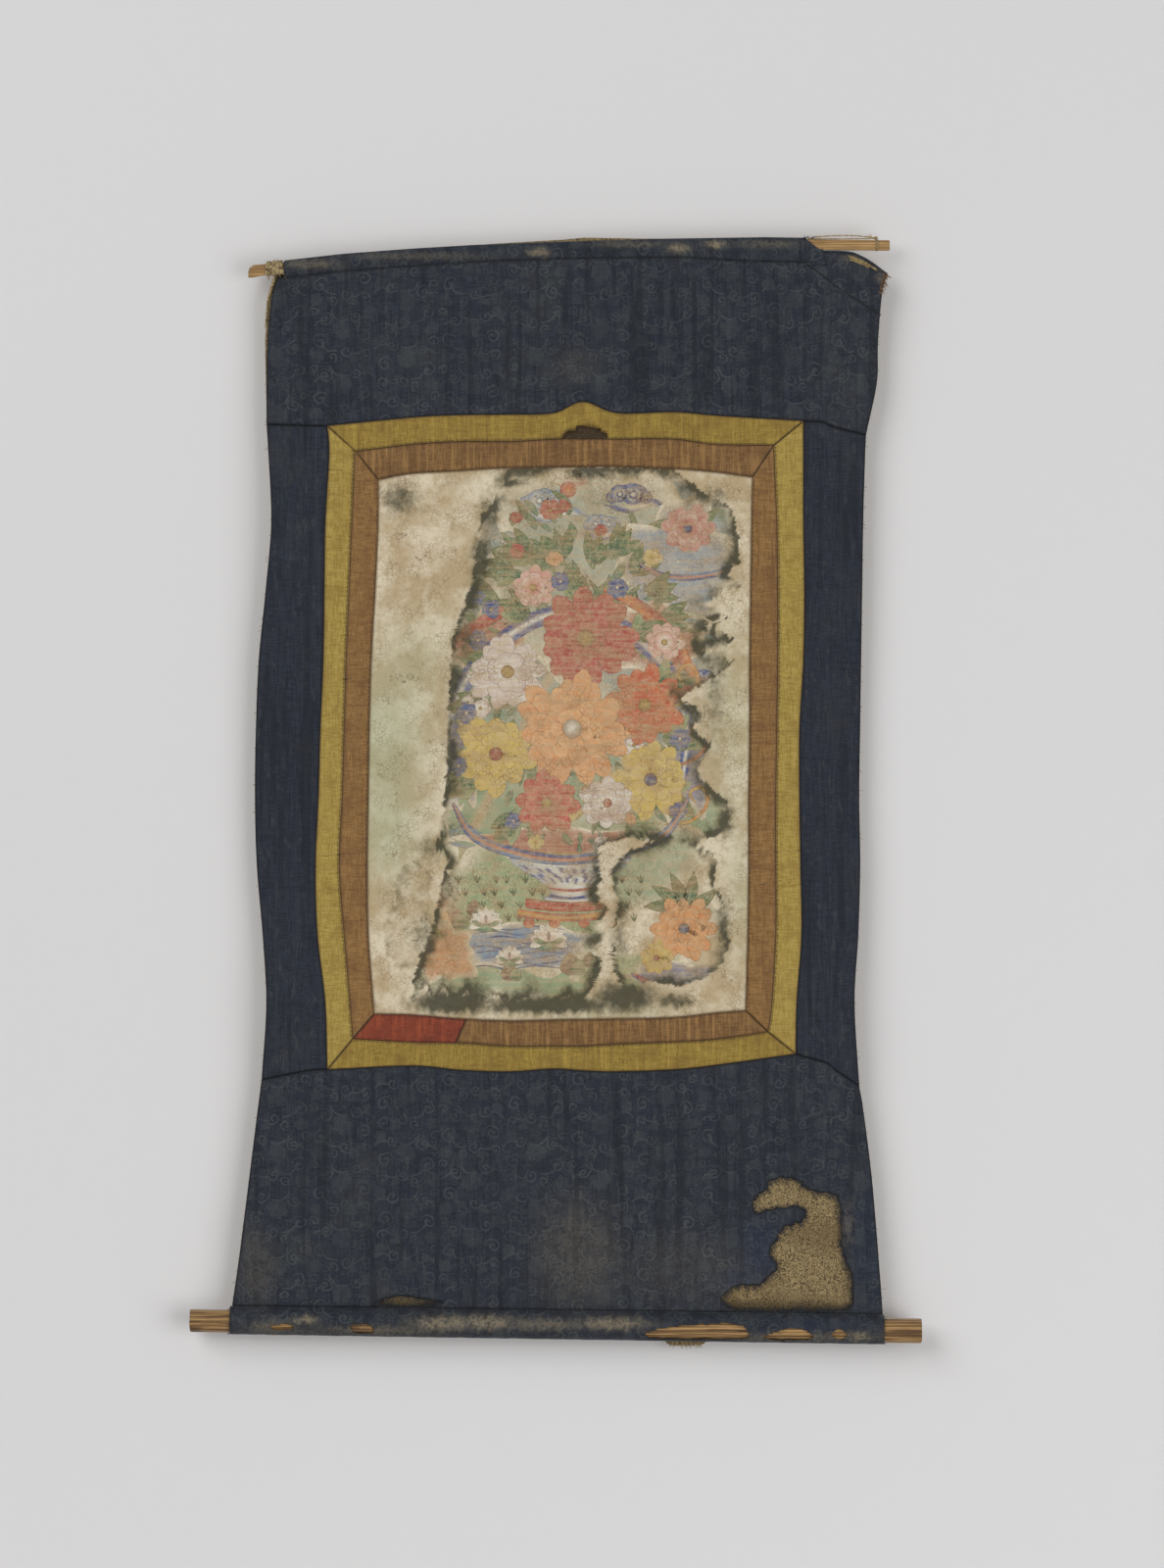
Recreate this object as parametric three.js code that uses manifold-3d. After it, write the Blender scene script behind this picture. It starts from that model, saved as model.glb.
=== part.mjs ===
// Hanging scroll painting with silk borders: a painted cotton picture in two narrow silk frames,
// a dark silk mounting of four panels, a cotton lining, a bamboo stave at the top and a wooden
// roller at the bottom. Millimetres, +Z up, +X to the right of somebody who faces the picture.
// The picture faces -Y. The origin is on the stave's own axis, above the middle of the picture.

import * as THREE from 'three';
import { mergeVertices } from 'three/addons/utils/BufferGeometryUtils.js';
import Module from 'manifold-3d';

const wasm = await Module();
wasm.setup();

// Driving dimensions
const CLOTH = 1.2;              // thickness of a silk or cotton sheet as built
const SEAM_GAP = 0.3;           // gap between two pieces that are sewn edge to edge
const LINING_STEP = 2.2;        // from the middle of the silk to the middle of the lining
const STAVE_HEIGHT = 10.6;      // flat bamboo slat, seen from the front
const STAVE_THICKNESS = 5;
const STAVE_CHAMFER = 1.2;
const STAVE_ROOM = 0.6;         // room between the slat and the silk round it
const STAVE_HEADROOM = 0.9;
const STAVE_CUT = { x: -324.5, slant: 4 };  // left tip, cut off at a slant
const NOTCH_X = 315;            // notch near the right tip that keeps the hanging string
const NOTCH_DEPTH = 0.9;
const NOTCH_WIDTH = 3;
const ROLLER_LEFT = { x: -386, z: -1094, radius: 11.7 };
const ROLLER_RIGHT = { x: 360.5, z: -1104.5, radius: 12.8 };
const ROLLER_SIDES = 8;         // whittled flats round the roller
const WHITTLING = 0.02;         // unevenness of the flats, as a share of the radius
const CASING_SLACK = 0.7;       // room between the roller and the silk that is wrapped round it
const CASING_RISE = { outer: 2.6, inner: 1.8 };  // how far the casing is drawn up to its seam
const CASING_LEFT = -345;
const CASING_RIGHT = 322;
const STAVE_CASING_LEFT = -290;
const STAVE_CASING_RIGHT = 243;
const STRING = 1.2;             // diameter of the hanging string
const LINING_END = -10;         // lower edge of the lining, from the roller's axis
const TONGUE = { x: 120, halfWidth: 20, drop: 9.5 };  // torn tongue of lining below the roller

// Number of segments along each kind of seam
const ACROSS = 16;              // along the top and bottom of the picture
const DOWN = 20;                // along the sides of the picture
const SIDE_LEFT = 3;            // across the left side panel
const SIDE_RIGHT = 4;           // across the right side panel
const STRIP = 2;                // across a narrow silk strip
const TOP_ROWS = 6;
const BOTTOM_ROWS = 9;
const CASING_STEPS = 16;        // along the casings of the stave and of the roller
const CASING_SIDES = 14;        // round the roller
const ROLLER_STEPS = 6;
const TEAR_POINTS = 34;
const LINING_COLUMNS = 20;
const LINING_ROWS = 22;
const RUN_OUT = 2;              // how far a cut runs past the ends of a sleeve

// Upright lines of the mounting: x of each line at level z
const LEVELS = [
  { z: -210, edgeL: -306, goldL: -244, seamL: -218, seamR: 210, goldR: 240, edgeR: 303 },
  { z: -280, edgeL: -303, goldL: -248, seamL: -221, seamR: 213, goldR: 240, edgeR: 301 },
  { z: -350, edgeL: -309, goldL: -249, seamL: -224, seamR: 214, goldR: 241, edgeR: 300 },
  { z: -420, edgeL: -316, goldL: -250, seamL: -227, seamR: 214, goldR: 240, edgeR: 299 },
  { z: -490, edgeL: -319, goldL: -253, seamL: -229, seamR: 213, goldR: 236, edgeR: 298 },
  { z: -560, edgeL: -320, goldL: -255, seamL: -231, seamR: 212, goldR: 236, edgeR: 297 },
  { z: -630, edgeL: -318, goldL: -258, seamL: -234, seamR: 212, goldR: 237, edgeR: 298 },
  { z: -700, edgeL: -312, goldL: -256, seamL: -229, seamR: 212, goldR: 238, edgeR: 296 },
  { z: -770, edgeL: -308, goldL: -248, seamL: -223, seamR: 208, goldR: 233, edgeR: 292 },
];

// Upright edges of the picture: x at level z
const PICTURE_LEVELS = [
  { z: -280, left: -194, right: 187 },
  { z: -350, left: -197, right: 186 },
  { z: -420, left: -201, right: 185 },
  { z: -490, left: -203, right: 185 },
  { z: -560, left: -204, right: 184 },
  { z: -630, left: -205, right: 184 },
  { z: -700, left: -204, right: 183 },
];

// Level lines of the mounting: z of each line at station x
const STATIONS = [
  { x: -160, goldT: -172.5, seamT: -200, pictureT: -230, pictureB: -782, seamB: -810, goldB: -834 },
  { x: -110, goldT: -170, seamT: -197, pictureT: -227, pictureB: -786, seamB: -811, goldB: -838.5 },
  { x: -60, goldT: -169.5, seamT: -197, pictureT: -224, pictureB: -788, seamB: -814, goldB: -840 },
  { x: -15, goldT: -168, seamT: -194.5, pictureT: -223.5, pictureB: -787, seamB: -814, goldB: -837 },
  { x: 15, goldT: -156.5, seamT: -194.5, pictureT: -223, pictureB: -786.5, seamB: -814, goldB: -839 },
  { x: 50, goldT: -168, seamT: -194.5, pictureT: -223, pictureB: -786, seamB: -812, goldB: -840 },
  { x: 108, goldT: -167, seamT: -194.5, pictureT: -225, pictureB: -784.5, seamB: -809.5, goldB: -838 },
  { x: 150, goldT: -170.5, seamT: -200, pictureT: -228.5, pictureB: -780, seamB: -807, goldB: -833.5 },
];

// Corners of the three frames
const CORNERS = {
  gold: { tl: [-246, -181], tr: [240, -176], br: [232, -822], bl: [-246, -838] },
  seam: { tl: [-218, -207], tr: [210, -200.5], br: [204, -799.5], bl: [-220, -806.5] },
  picture: { tl: [-194, -236], tr: [188, -233.5], br: [181, -777.5], bl: [-198, -781] },
};

// Where the side panels meet the top and the bottom panel
const SHOULDERS = {
  topLeft: [[-308, -179.5]],
  topRight: [[260, -177], [268, -181], [287, -186], [304, -190]],
  bottomLeft: [[-313, -848.5], [-283, -842.5], [-260, -838.5]],
  bottomRight: [[246, -826.5], [264, -831.5], [274, -839.5], [292, -851.5], [297, -855.5]],
};

// Free edges of the top and of the bottom panel, from above downwards
const TOP_LEFT_EDGE = [[-297, -30], [-303, -51.5], [-307, -91.5], [-308, -146.5], [-308, -179.5]];
const TOP_RIGHT_EDGE = [[326, -25.5], [320, -47.5], [316, -96.5], [315, -136.5], [304, -190]];
const BOTTOM_LEFT_EDGE = [[-313, -848.5], [-317, -878.5], [-326, -950.5], [-335, -1022.5], [-343, -1078]];
const BOTTOM_RIGHT_EDGE = [[297, -855.5], [301, -878.5], [310, -950.5], [318, -1046.5], [321, -1088]];

// Line of the bowed stave, from its cut left tip to its right tip
const STAVE_LINE = [
  [-327, -23.5], [-270, -17], [-230, -12.5], [-164, -7.5], [-98, -3.5],
  [0, 0], [100, 3], [200, 4.5], [270, 3.5], [328, 3],
];

// Seam under the stave; right of its last point the silk has slipped off the stave
const CASING_SEAM = [
  [-297, -31], [-242, -24.5], [-161, -18], [-80, -13], [9, -10],
  [120, -9], [171, -12.5], [243, -14],
];
const SLIPPED_EDGE = [[258, -4], [289, -4], [308, -13], [326, -25.5]];

// The lining stands out at the left of the top panel, and above the silk in the middle
const LINING_LEFT_EDGE = [[-298, -26], [-306, -51.5], [-310, -91.5], [-309, -146.5], [-308, -179.5]];
const LINING_TOP = [
  [-297, -16], [-230, -8], [-80, 5], [-4, 9.5], [16, 11.5], [73, 10.5], [120, 10.5],
  [200, 9], [240, 7], [262, -5], [289, -4.5], [326, -25.5],
];

// Soft folds: a fold lies at x, z, is this wide across and this long along its line, leans so many
// degrees from upright, and is pushed so far towards the wall
const FOLDS = [
  { name: 'left edge, upper waist', x: -304, z: -275, across: 34, along: 60, lean: 4, push: -4.5 },
  { name: 'left edge, belly', x: -318, z: -560, across: 40, along: 120, lean: 0, push: 3 },
  { name: 'left edge, lower waist', x: -308, z: -775, across: 34, along: 55, lean: -5, push: -5 },
  { name: 'right edge, lower waist', x: 292, z: -780, across: 34, along: 60, lean: 5, push: -5 },
  { name: 'right edge, middle', x: 300, z: -480, across: 36, along: 130, lean: 0, push: 2.5 },
  { name: 'old fold through the top panel', x: -191, z: -120, across: 22, along: 110, lean: 0, push: 2.5 },
  { name: 'top panel, middle', x: 30, z: -90, across: 90, along: 80, lean: 10, push: -2.5 },
  { name: 'slipped corner', x: 300, z: -50, across: 30, along: 45, lean: 35, push: -4 },
  { name: 'line of the slipped casing', x: 262, z: -45, across: 22, along: 60, lean: -50, push: 2.5 },
  { name: 'picture, upper left', x: -90, z: -330, across: 80, along: 90, lean: 20, push: 1.5 },
  { name: 'picture, middle right', x: 90, z: -520, across: 80, along: 110, lean: -10, push: -2 },
  { name: 'picture, lower left', x: -70, z: -690, across: 90, along: 80, lean: 0, push: 1.8 },
  { name: 'upright fold in the bottom panel', x: 89, z: -1000, across: 30, along: 110, lean: 0, push: -4 },
  { name: 'bottom panel, left', x: -140, z: -960, across: 70, along: 100, lean: 8, push: 3 },
  { name: 'bottom panel, centre', x: -20, z: -940, across: 60, along: 90, lean: -6, push: -2.5 },
  { name: 'crumple at the lower left edge', x: -306, z: -1012, across: 22, along: 34, lean: 62, push: -4.5 },
  { name: 'bagging beside the tear', x: 262, z: -1000, across: 40, along: 60, lean: 0, push: -3.5 },
];

// Torn place in the bottom panel, where the lining shows
const TEAR = [
  [205, -953], [230, -950], [262, -965], [276, -972], [281, -1015], [290, -1055], [289, -1076],
  [270, -1083], [203, -1082], [165, -1079], [157, -1073], [174, -1057], [207, -1049],
  [209, -1022], [234, -997], [243, -988], [238, -977], [193, -983], [189, -969],
];
const SMALL_TEAR = [[-199, -1077], [-185, -1071], [-171, -1069], [-151, -1072], [-128, -1076], [-160, -1079]];

// Worn places in the front of the roller casing, where the wood shows
const WORN_HOLES = [
  [[-304, -1099], [-292, -1096], [-279, -1098], [-283, -1102], [-298, -1103]],
  [[-224, -1098], [-208, -1096], [-199, -1099], [-199, -1105], [-217, -1106]],
  [[76, -1105], [111, -1098], [142, -1096], [172, -1096], [184, -1107], [172, -1112], [90, -1112]],
  [[198, -1109], [215, -1103], [234, -1100], [250, -1109], [240, -1113], [207, -1113]],
  [[268, -1108], [275, -1101], [284, -1107], [277, -1113]],
];

// Crescent in the upper gold strip where it has parted from the brown one
const CRESCENT = { x: 17, z: -194.5, halfWidth: 23, height: 12, below: 3 };
const THROUGH = 30;             // reach of a cut to the front and to the back of the cloth

const COLOURS = {
  silk: 0x32363c, gold: 0x8e7841, brown: 0x775a37, red: 0x79412d, lining: 0x6d5e43,
  canvas: 0xbaaa8e, stave: 0x9e7e52, roller: 0x7a5d3b, string: 0x6b5636,
};

// Small helpers for lines in the XZ plane
const at = ([x, z]) => new THREE.Vector2(x, z);

function through(rows) {
  return new THREE.SplineCurve(rows.map(at));
}

function spaced(rows, segments) {
  return through(rows).getSpacedPoints(segments);
}

// Height of a line over x, read between its rows
function heightAt(rows, x) {
  const next = Math.max(1, rows.findIndex((row) => row[0] >= x));
  const last = x > rows[rows.length - 1][0] ? rows.length - 1 : next;
  const [x0, z0] = rows[last - 1];
  const [x1, z1] = rows[last];
  return THREE.MathUtils.mapLinear(x, x0, x1, z0, z1);
}

function column(rows, key) {
  return rows.map((row) => [row[key], row.z]);
}

function line(rows, key) {
  return rows.map((row) => [row.x, row[key]]);
}

function reversed(points) {
  return points.slice().reverse();
}

function swapped([first, second]) {
  return [second, first];
}

// Depth of the cloth's middle surface: the sum of its soft folds
function foldDepth(x, z) {
  let depth = 0;
  for (const fold of FOLDS) {
    const lean = THREE.MathUtils.degToRad(fold.lean);
    const dx = x - fold.x;
    const dz = z - fold.z;
    const across = (dx * Math.cos(lean) + dz * Math.sin(lean)) / fold.across;
    const along = (dz * Math.cos(lean) - dx * Math.sin(lean)) / fold.along;
    depth += fold.push * Math.exp(-across * across - along * along);
  }
  return depth * settled(x, z);
}

// The folds die out where the cloth is held by the stave and by the roller
const HELD = { staveFrom: -8, staveTo: 40, rollerFrom: 14, rollerTo: 60 };

function settled(x, z) {
  const { smoothstep } = THREE.MathUtils;
  const top = smoothstep(heightAt(CASING_SEAM, x) - z, HELD.staveFrom, HELD.staveTo);
  const bottom = smoothstep(z - rollerHeight(x), HELD.rollerFrom, HELD.rollerTo);
  return top * bottom;
}

function rollerShare(x) {
  return (x - ROLLER_LEFT.x) / (ROLLER_RIGHT.x - ROLLER_LEFT.x);
}

function rollerHeight(x) {
  return THREE.MathUtils.lerp(ROLLER_LEFT.z, ROLLER_RIGHT.z, rollerShare(x));
}

function rollerRadius(x) {
  return THREE.MathUtils.lerp(ROLLER_LEFT.radius, ROLLER_RIGHT.radius, rollerShare(x));
}

// Closed mesh from positions and triangle indices
function solid(positions, indices) {
  const geometry = new THREE.BufferGeometry();
  geometry.setAttribute('position', new THREE.Float32BufferAttribute(positions, 3));
  geometry.setIndex(indices);
  return geometry;
}

// Sheet of even thickness on a grid of points in XZ; depth gives its middle surface
function sheet(grid, depth) {
  const rows = grid.length;
  const columns = grid[0].length;
  const positions = [];
  const step = 0.5;
  for (const side of [-0.5, 0.5]) {
    for (const point of grid.flat()) {
      const slopeX = (depth(point.x + step, point.y) - depth(point.x - step, point.y)) / (2 * step);
      const slopeZ = (depth(point.x, point.y + step) - depth(point.x, point.y - step)) / (2 * step);
      const normal = new THREE.Vector3(-slopeX, 1, -slopeZ).normalize().multiplyScalar(side * CLOTH);
      positions.push(point.x + normal.x, depth(point.x, point.y) + normal.y, point.y + normal.z);
    }
  }
  const indices = [];
  const back = rows * columns;
  const quad = (a, b, c, d) => indices.push(a, b, c, a, c, d);
  for (let row = 0; row + 1 < rows; row += 1) {
    for (let col = 0; col + 1 < columns; col += 1) {
      const a = row * columns + col;
      const c = a + columns + 1;
      quad(a, a + 1, c, c - 1);
      quad(back + a, back + c - 1, back + c, back + a + 1);
    }
  }
  const rim = [];
  for (let col = 0; col + 1 < columns; col += 1) rim.push(col);
  for (let row = 0; row + 1 < rows; row += 1) rim.push(row * columns + columns - 1);
  for (let col = columns - 1; col > 0; col -= 1) rim.push((rows - 1) * columns + col);
  for (let row = rows - 1; row > 0; row -= 1) rim.push(row * columns);
  rim.forEach((from, index) => {
    const to = rim[(index + 1) % rim.length];
    quad(from, back + from, back + to, to);
  });
  return solid(positions, indices);
}

// The outline of a piece, drawn in by half of the seam gap all round
function drawnIn(loop) {
  return loop.map((point, index) => {
    const before = loop[(index + loop.length - 1) % loop.length];
    const after = loop[(index + 1) % loop.length];
    const first = point.clone().sub(before).normalize();
    const second = after.clone().sub(point).normalize();
    const inward = new THREE.Vector2(-first.y - second.y, first.x + second.x);
    return point.clone().addScaledVector(inward, SEAM_GAP / 2 / (1 + first.dot(second)));
  });
}

// Grid between four sides: bottom and top run left to right, left and right run upwards
function between(bottom, right, top, left) {
  const columns = bottom.length - 1;
  const rows = left.length - 1;
  const loop = drawnIn([
    ...bottom.slice(0, -1), ...right.slice(0, -1), ...reversed(top).slice(0, -1),
    ...reversed(left).slice(0, -1),
  ]);
  const lower = loop.slice(0, columns + 1);
  const rightSide = loop.slice(columns, columns + rows + 1);
  const upper = reversed(loop.slice(columns + rows, 2 * columns + rows + 1));
  const leftSide = reversed([...loop.slice(2 * columns + rows), loop[0]]);
  const grid = [];
  for (let row = 0; row <= rows; row += 1) {
    const v = row / rows;
    grid.push(lower.map((low, col) => {
      const u = col / columns;
      const ruled = low.clone().lerp(upper[col], v).add(leftSide[row].clone().lerp(rightSide[row], u));
      const lowCorner = lower[0].clone().lerp(lower[columns], u);
      const highCorner = upper[0].clone().lerp(upper[columns], u);
      return ruled.sub(lowCorner.lerp(highCorner, v));
    }));
  }
  return grid;
}

// Booleans: a closed geometry becomes a manifold, and the result a geometry again
function toManifold(geometry) {
  const merged = geometry.clone();
  merged.deleteAttribute('normal');
  merged.deleteAttribute('uv');
  const welded = mergeVertices(merged, 1e-4);
  return new wasm.Manifold(new wasm.Mesh({
    numProp: 3,
    vertProperties: new Float32Array(welded.attributes.position.array),
    triVerts: new Uint32Array(welded.index.array),
  }));
}

function toGeometry(manifold) {
  const mesh = manifold.getMesh();
  return solid(Array.from(mesh.vertProperties), Array.from(mesh.triVerts));
}

// Upright prism through the cloth: an outline in XZ carried from one depth to another
function prism(points, nearY, farY) {
  const shape = new THREE.Shape(points);
  const geometry = new THREE.ExtrudeGeometry(shape, { depth: farY - nearY, bevelEnabled: false });
  geometry.rotateX(Math.PI / 2);
  geometry.translate(0, farY, 0);
  return toManifold(geometry);
}

// Solid carried through rings of equal length that follow each other along +X
function loft(rings) {
  const sides = rings[0].length;
  const positions = rings.flat().flatMap((point) => point.toArray());
  const indices = [];
  for (let ring = 0; ring + 1 < rings.length; ring += 1) {
    for (let side = 0; side < sides; side += 1) {
      const a = ring * sides + side;
      const b = ring * sides + (side + 1) % sides;
      indices.push(a, b, b + sides, a, b + sides, a + sides);
    }
  }
  // Each end is closed by one triangle round its middle and by fans outside that triangle
  const corners = [0, Math.round((sides * 3) / 8), Math.round((sides * 5) / 8), sides];
  const faces = [corners.slice(0, 3)];
  for (let arc = 0; arc < 3; arc += 1) {
    for (let side = corners[arc] + 1; side < corners[arc + 1]; side += 1) {
      faces.push([corners[arc], side, (side + 1) % sides]);
    }
  }
  const last = (rings.length - 1) * sides;
  for (const [p, q, r] of faces) {
    indices.push(p, r, q);
    indices.push(last + p, last + q, last + r);
  }
  return solid(positions, indices);
}

// Sleeve: an outer loft less an inner one that runs past both of its ends
function sleeve(outer, inner) {
  return toManifold(loft(outer)).subtract(toManifold(loft(inner)));
}

function ringAt(x, section) {
  return section.map(([y, z]) => new THREE.Vector3(x, y, z));
}

// Section of the slat at x: a rectangle with its corners taken off
function slatSection(x, halfHeight) {
  const middle = heightAt(STAVE_LINE, x);
  const t = STAVE_THICKNESS / 2;
  const c = STAVE_CHAMFER;
  return [
    [t, middle - halfHeight + c], [t, middle + halfHeight - c], [t - c, middle + halfHeight],
    [-t + c, middle + halfHeight], [-t, middle + halfHeight - c], [-t, middle - halfHeight + c],
    [-t + c, middle - halfHeight], [t - c, middle - halfHeight],
  ];
}

function makeStave() {
  const half = STAVE_HEIGHT / 2;
  const tip = slatSection(STAVE_CUT.x, half).map(([y, z]) => {
    const slant = (heightAt(STAVE_LINE, STAVE_CUT.x) - z) / STAVE_HEIGHT;
    return new THREE.Vector3(STAVE_CUT.x - slant * STAVE_CUT.slant, y, z);
  });
  const rings = [tip];
  const stations = [-309, -270, -230, -164, -98, 0, 100, 200, 262, 300];
  for (const x of stations) rings.push(ringAt(x, slatSection(x, half)));
  const notch = [
    [NOTCH_X - NOTCH_WIDTH / 2 - 1, half], [NOTCH_X - NOTCH_WIDTH / 2, half - NOTCH_DEPTH],
    [NOTCH_X + NOTCH_WIDTH / 2, half - NOTCH_DEPTH], [NOTCH_X + NOTCH_WIDTH / 2 + 1, half],
    [STAVE_LINE[STAVE_LINE.length - 1][0], half],
  ];
  for (const [x, height] of notch) rings.push(ringAt(x, slatSection(x, height)));
  return loft(rings);
}

// Section of the silk round the stave: half thickness, top above and tip below the middle
function staveCasingSection(x, half, top, tipZ) {
  const middle = heightAt(STAVE_LINE, x);
  const side = [
    [0.75 * half, middle + 0.9 * top], [half, middle + 0.55 * top], [half, middle - 0.55 * top],
    [0.9 * half, middle - top], [0.45 * half, (middle - top + tipZ) / 2],
  ];
  const mirrored = reversed(side).map(([y, z]) => [-y, z]);
  return [[0, tipZ], ...reversed(side), [0, middle + top], ...reversed(mirrored)];
}

// An inner ring is moved outwards where it is the first or the last one of its sleeve
function runOut(step, steps) {
  if (step === 0) return -RUN_OUT;
  return step === steps ? RUN_OUT : 0;
}

function makeStaveCasing() {
  const outer = [];
  const inner = [];
  const half = STAVE_THICKNESS / 2 + STAVE_ROOM;
  const top = STAVE_HEIGHT / 2 + STAVE_HEADROOM;
  for (let step = 0; step <= CASING_STEPS; step += 1) {
    const x = THREE.MathUtils.lerp(STAVE_CASING_LEFT, STAVE_CASING_RIGHT, step / CASING_STEPS);
    const tip = heightAt(CASING_SEAM, x);
    outer.push(ringAt(x, staveCasingSection(x, half + CLOTH, top + CLOTH, tip)));
    const insideTip = tip + 1.8 * CLOTH;
    inner.push(ringAt(x + runOut(step, CASING_STEPS), staveCasingSection(x, half, top, insideTip)));
  }
  return sleeve(outer, inner);
}

// Section of the silk round the roller: a circle drawn up to the seam above it
function rollerCasingSection(x, radius, rise) {
  const section = [];
  for (let side = 0; side < CASING_SIDES; side += 1) {
    const turn = (side / CASING_SIDES) * 2 * Math.PI;
    const pull = rise * Math.max(0, Math.cos(turn)) ** 6;
    section.push([-radius * Math.sin(turn), rollerHeight(x) + radius * Math.cos(turn) + pull]);
  }
  return section;
}

function makeRollerCasing() {
  const outer = [];
  const inner = [];
  for (let step = 0; step <= CASING_STEPS; step += 1) {
    const x = THREE.MathUtils.lerp(CASING_LEFT, CASING_RIGHT, step / CASING_STEPS);
    const radius = rollerRadius(x) + CASING_SLACK;
    outer.push(ringAt(x, rollerCasingSection(x, radius + CLOTH, CASING_RISE.outer)));
    const inside = rollerCasingSection(x, radius, CASING_RISE.inner);
    inner.push(ringAt(x + runOut(step, CASING_STEPS), inside));
  }
  return sleeve(outer, inner);
}

function makeRoller() {
  const rings = [];
  for (let step = 0; step <= ROLLER_STEPS; step += 1) {
    const x = THREE.MathUtils.lerp(ROLLER_LEFT.x, ROLLER_RIGHT.x, step / ROLLER_STEPS);
    const section = [];
    for (let side = 0; side < ROLLER_SIDES; side += 1) {
      const turn = ((side + 0.5) / ROLLER_SIDES) * 2 * Math.PI;
      const uneven = ((side * 5 + step * 3) % 4) / 3;
      const whittled = rollerRadius(x) * (1 - WHITTLING * uneven);
      section.push([-whittled * Math.sin(turn), rollerHeight(x) + whittled * Math.cos(turn)]);
    }
    rings.push(ringAt(x, section));
  }
  return loft(rings);
}

// Seams, each sampled once, so that the pieces on both of its sides share its points
const { gold, seam, picture } = CORNERS;
const seams = {
  topLeft: spaced([...SHOULDERS.topLeft, gold.tl], SIDE_LEFT),
  goldT: spaced([gold.tl, ...line(STATIONS, 'goldT'), gold.tr], ACROSS),
  topRight: spaced([gold.tr, ...SHOULDERS.topRight], SIDE_RIGHT),
  bottomLeft: spaced([...SHOULDERS.bottomLeft, gold.bl], SIDE_LEFT),
  goldB: spaced([gold.bl, ...line(STATIONS, 'goldB'), gold.br], ACROSS),
  bottomRight: spaced([gold.br, ...SHOULDERS.bottomRight], SIDE_RIGHT),
  goldL: spaced([gold.bl, ...reversed(column(LEVELS, 'goldL')), gold.tl], DOWN),
  goldR: spaced([gold.br, ...reversed(column(LEVELS, 'goldR')), gold.tr], DOWN),
  seamT: spaced([seam.tl, ...line(STATIONS, 'seamT'), seam.tr], ACROSS),
  seamB: spaced([seam.bl, ...line(STATIONS, 'seamB'), seam.br], ACROSS),
  seamL: spaced([seam.bl, ...reversed(column(LEVELS, 'seamL')), seam.tl], DOWN),
  seamR: spaced([seam.br, ...reversed(column(LEVELS, 'seamR')), seam.tr], DOWN),
  pictureT: spaced([picture.tl, ...line(STATIONS, 'pictureT'), picture.tr], ACROSS),
  pictureB: spaced([picture.bl, ...line(STATIONS, 'pictureB'), picture.br], ACROSS),
  pictureL: spaced([picture.bl, ...reversed(column(PICTURE_LEVELS, 'left')), picture.tl], DOWN),
  pictureR: spaced([picture.br, ...reversed(column(PICTURE_LEVELS, 'right')), picture.tr], DOWN),
};

function mitre(from, to) {
  return spaced([from, to], STRIP);
}

function makeTopPanel() {
  const bottom = [...seams.topLeft, ...seams.goldT.slice(1), ...seams.topRight.slice(1)];
  const upper = CASING_SEAM.map(([x, z]) => [x, z + CLOTH]);
  const top = spaced([...upper, ...SLIPPED_EDGE], bottom.length - 1);
  const left = spaced(reversed(TOP_LEFT_EDGE), TOP_ROWS);
  const right = spaced(reversed(TOP_RIGHT_EDGE), TOP_ROWS);
  left[TOP_ROWS].copy(top[0]);
  const panel = toManifold(sheet(between(bottom, right, top, left), foldDepth));
  return toGeometry(panel.add(makeStaveCasing()));
}

function makeBottomPanel() {
  const top = [...seams.bottomLeft, ...seams.goldB.slice(1), ...seams.bottomRight.slice(1)];
  const left = spaced(reversed(BOTTOM_LEFT_EDGE), BOTTOM_ROWS);
  const right = spaced(reversed(BOTTOM_RIGHT_EDGE), BOTTOM_ROWS);
  const intoSeam = CASING_SLACK + (CASING_RISE.outer + CASING_RISE.inner + CLOTH) / 2;
  const bottom = top.map((point, index) => {
    const x = THREE.MathUtils.lerp(left[0].x, right[0].x, index / (top.length - 1));
    return new THREE.Vector2(x, rollerHeight(x) + rollerRadius(x) + intoSeam);
  });
  left[0].copy(bottom[0]);
  right[0].copy(bottom[bottom.length - 1]);
  let panel = toManifold(sheet(between(bottom, right, top, left), foldDepth));
  const tear = spaced([...TEAR, TEAR[0]], TEAR_POINTS).slice(0, -1);
  panel = panel.subtract(prism(tear, -THROUGH, THROUGH));
  panel = panel.subtract(prism(SMALL_TEAR.map(at), -THROUGH, THROUGH));
  let casing = makeRollerCasing();
  for (const hole of WORN_HOLES) casing = casing.subtract(prism(hole.map(at), -THROUGH, 0));
  return toGeometry(panel.add(casing));
}

function makeGoldTop() {
  const grid = between(seams.seamT, mitre(seam.tr, gold.tr), seams.goldT, mitre(seam.tl, gold.tl));
  const arc = [];
  const steps = 12;
  for (let step = 0; step <= steps; step += 1) {
    const turn = (step / steps) * Math.PI;
    const x = CRESCENT.x + CRESCENT.halfWidth * Math.cos(turn);
    arc.push(new THREE.Vector2(x, CRESCENT.z + CRESCENT.height * Math.sin(turn)));
  }
  arc.push(new THREE.Vector2(CRESCENT.x, CRESCENT.z - CRESCENT.below));
  return toGeometry(toManifold(sheet(grid, foldDepth)).subtract(prism(arc, -THROUGH, THROUGH)));
}

// The lining hangs behind everything, passes behind the stave and lies round the roller casing
const BEHIND_STAVE = { y: STAVE_THICKNESS / 2 + 3.2, from: 9, to: 26, endsFrom: 276, endsTo: 292 };
const BEHIND_ROLLER = CASING_SLACK + CLOTH + 1.3;

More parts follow.
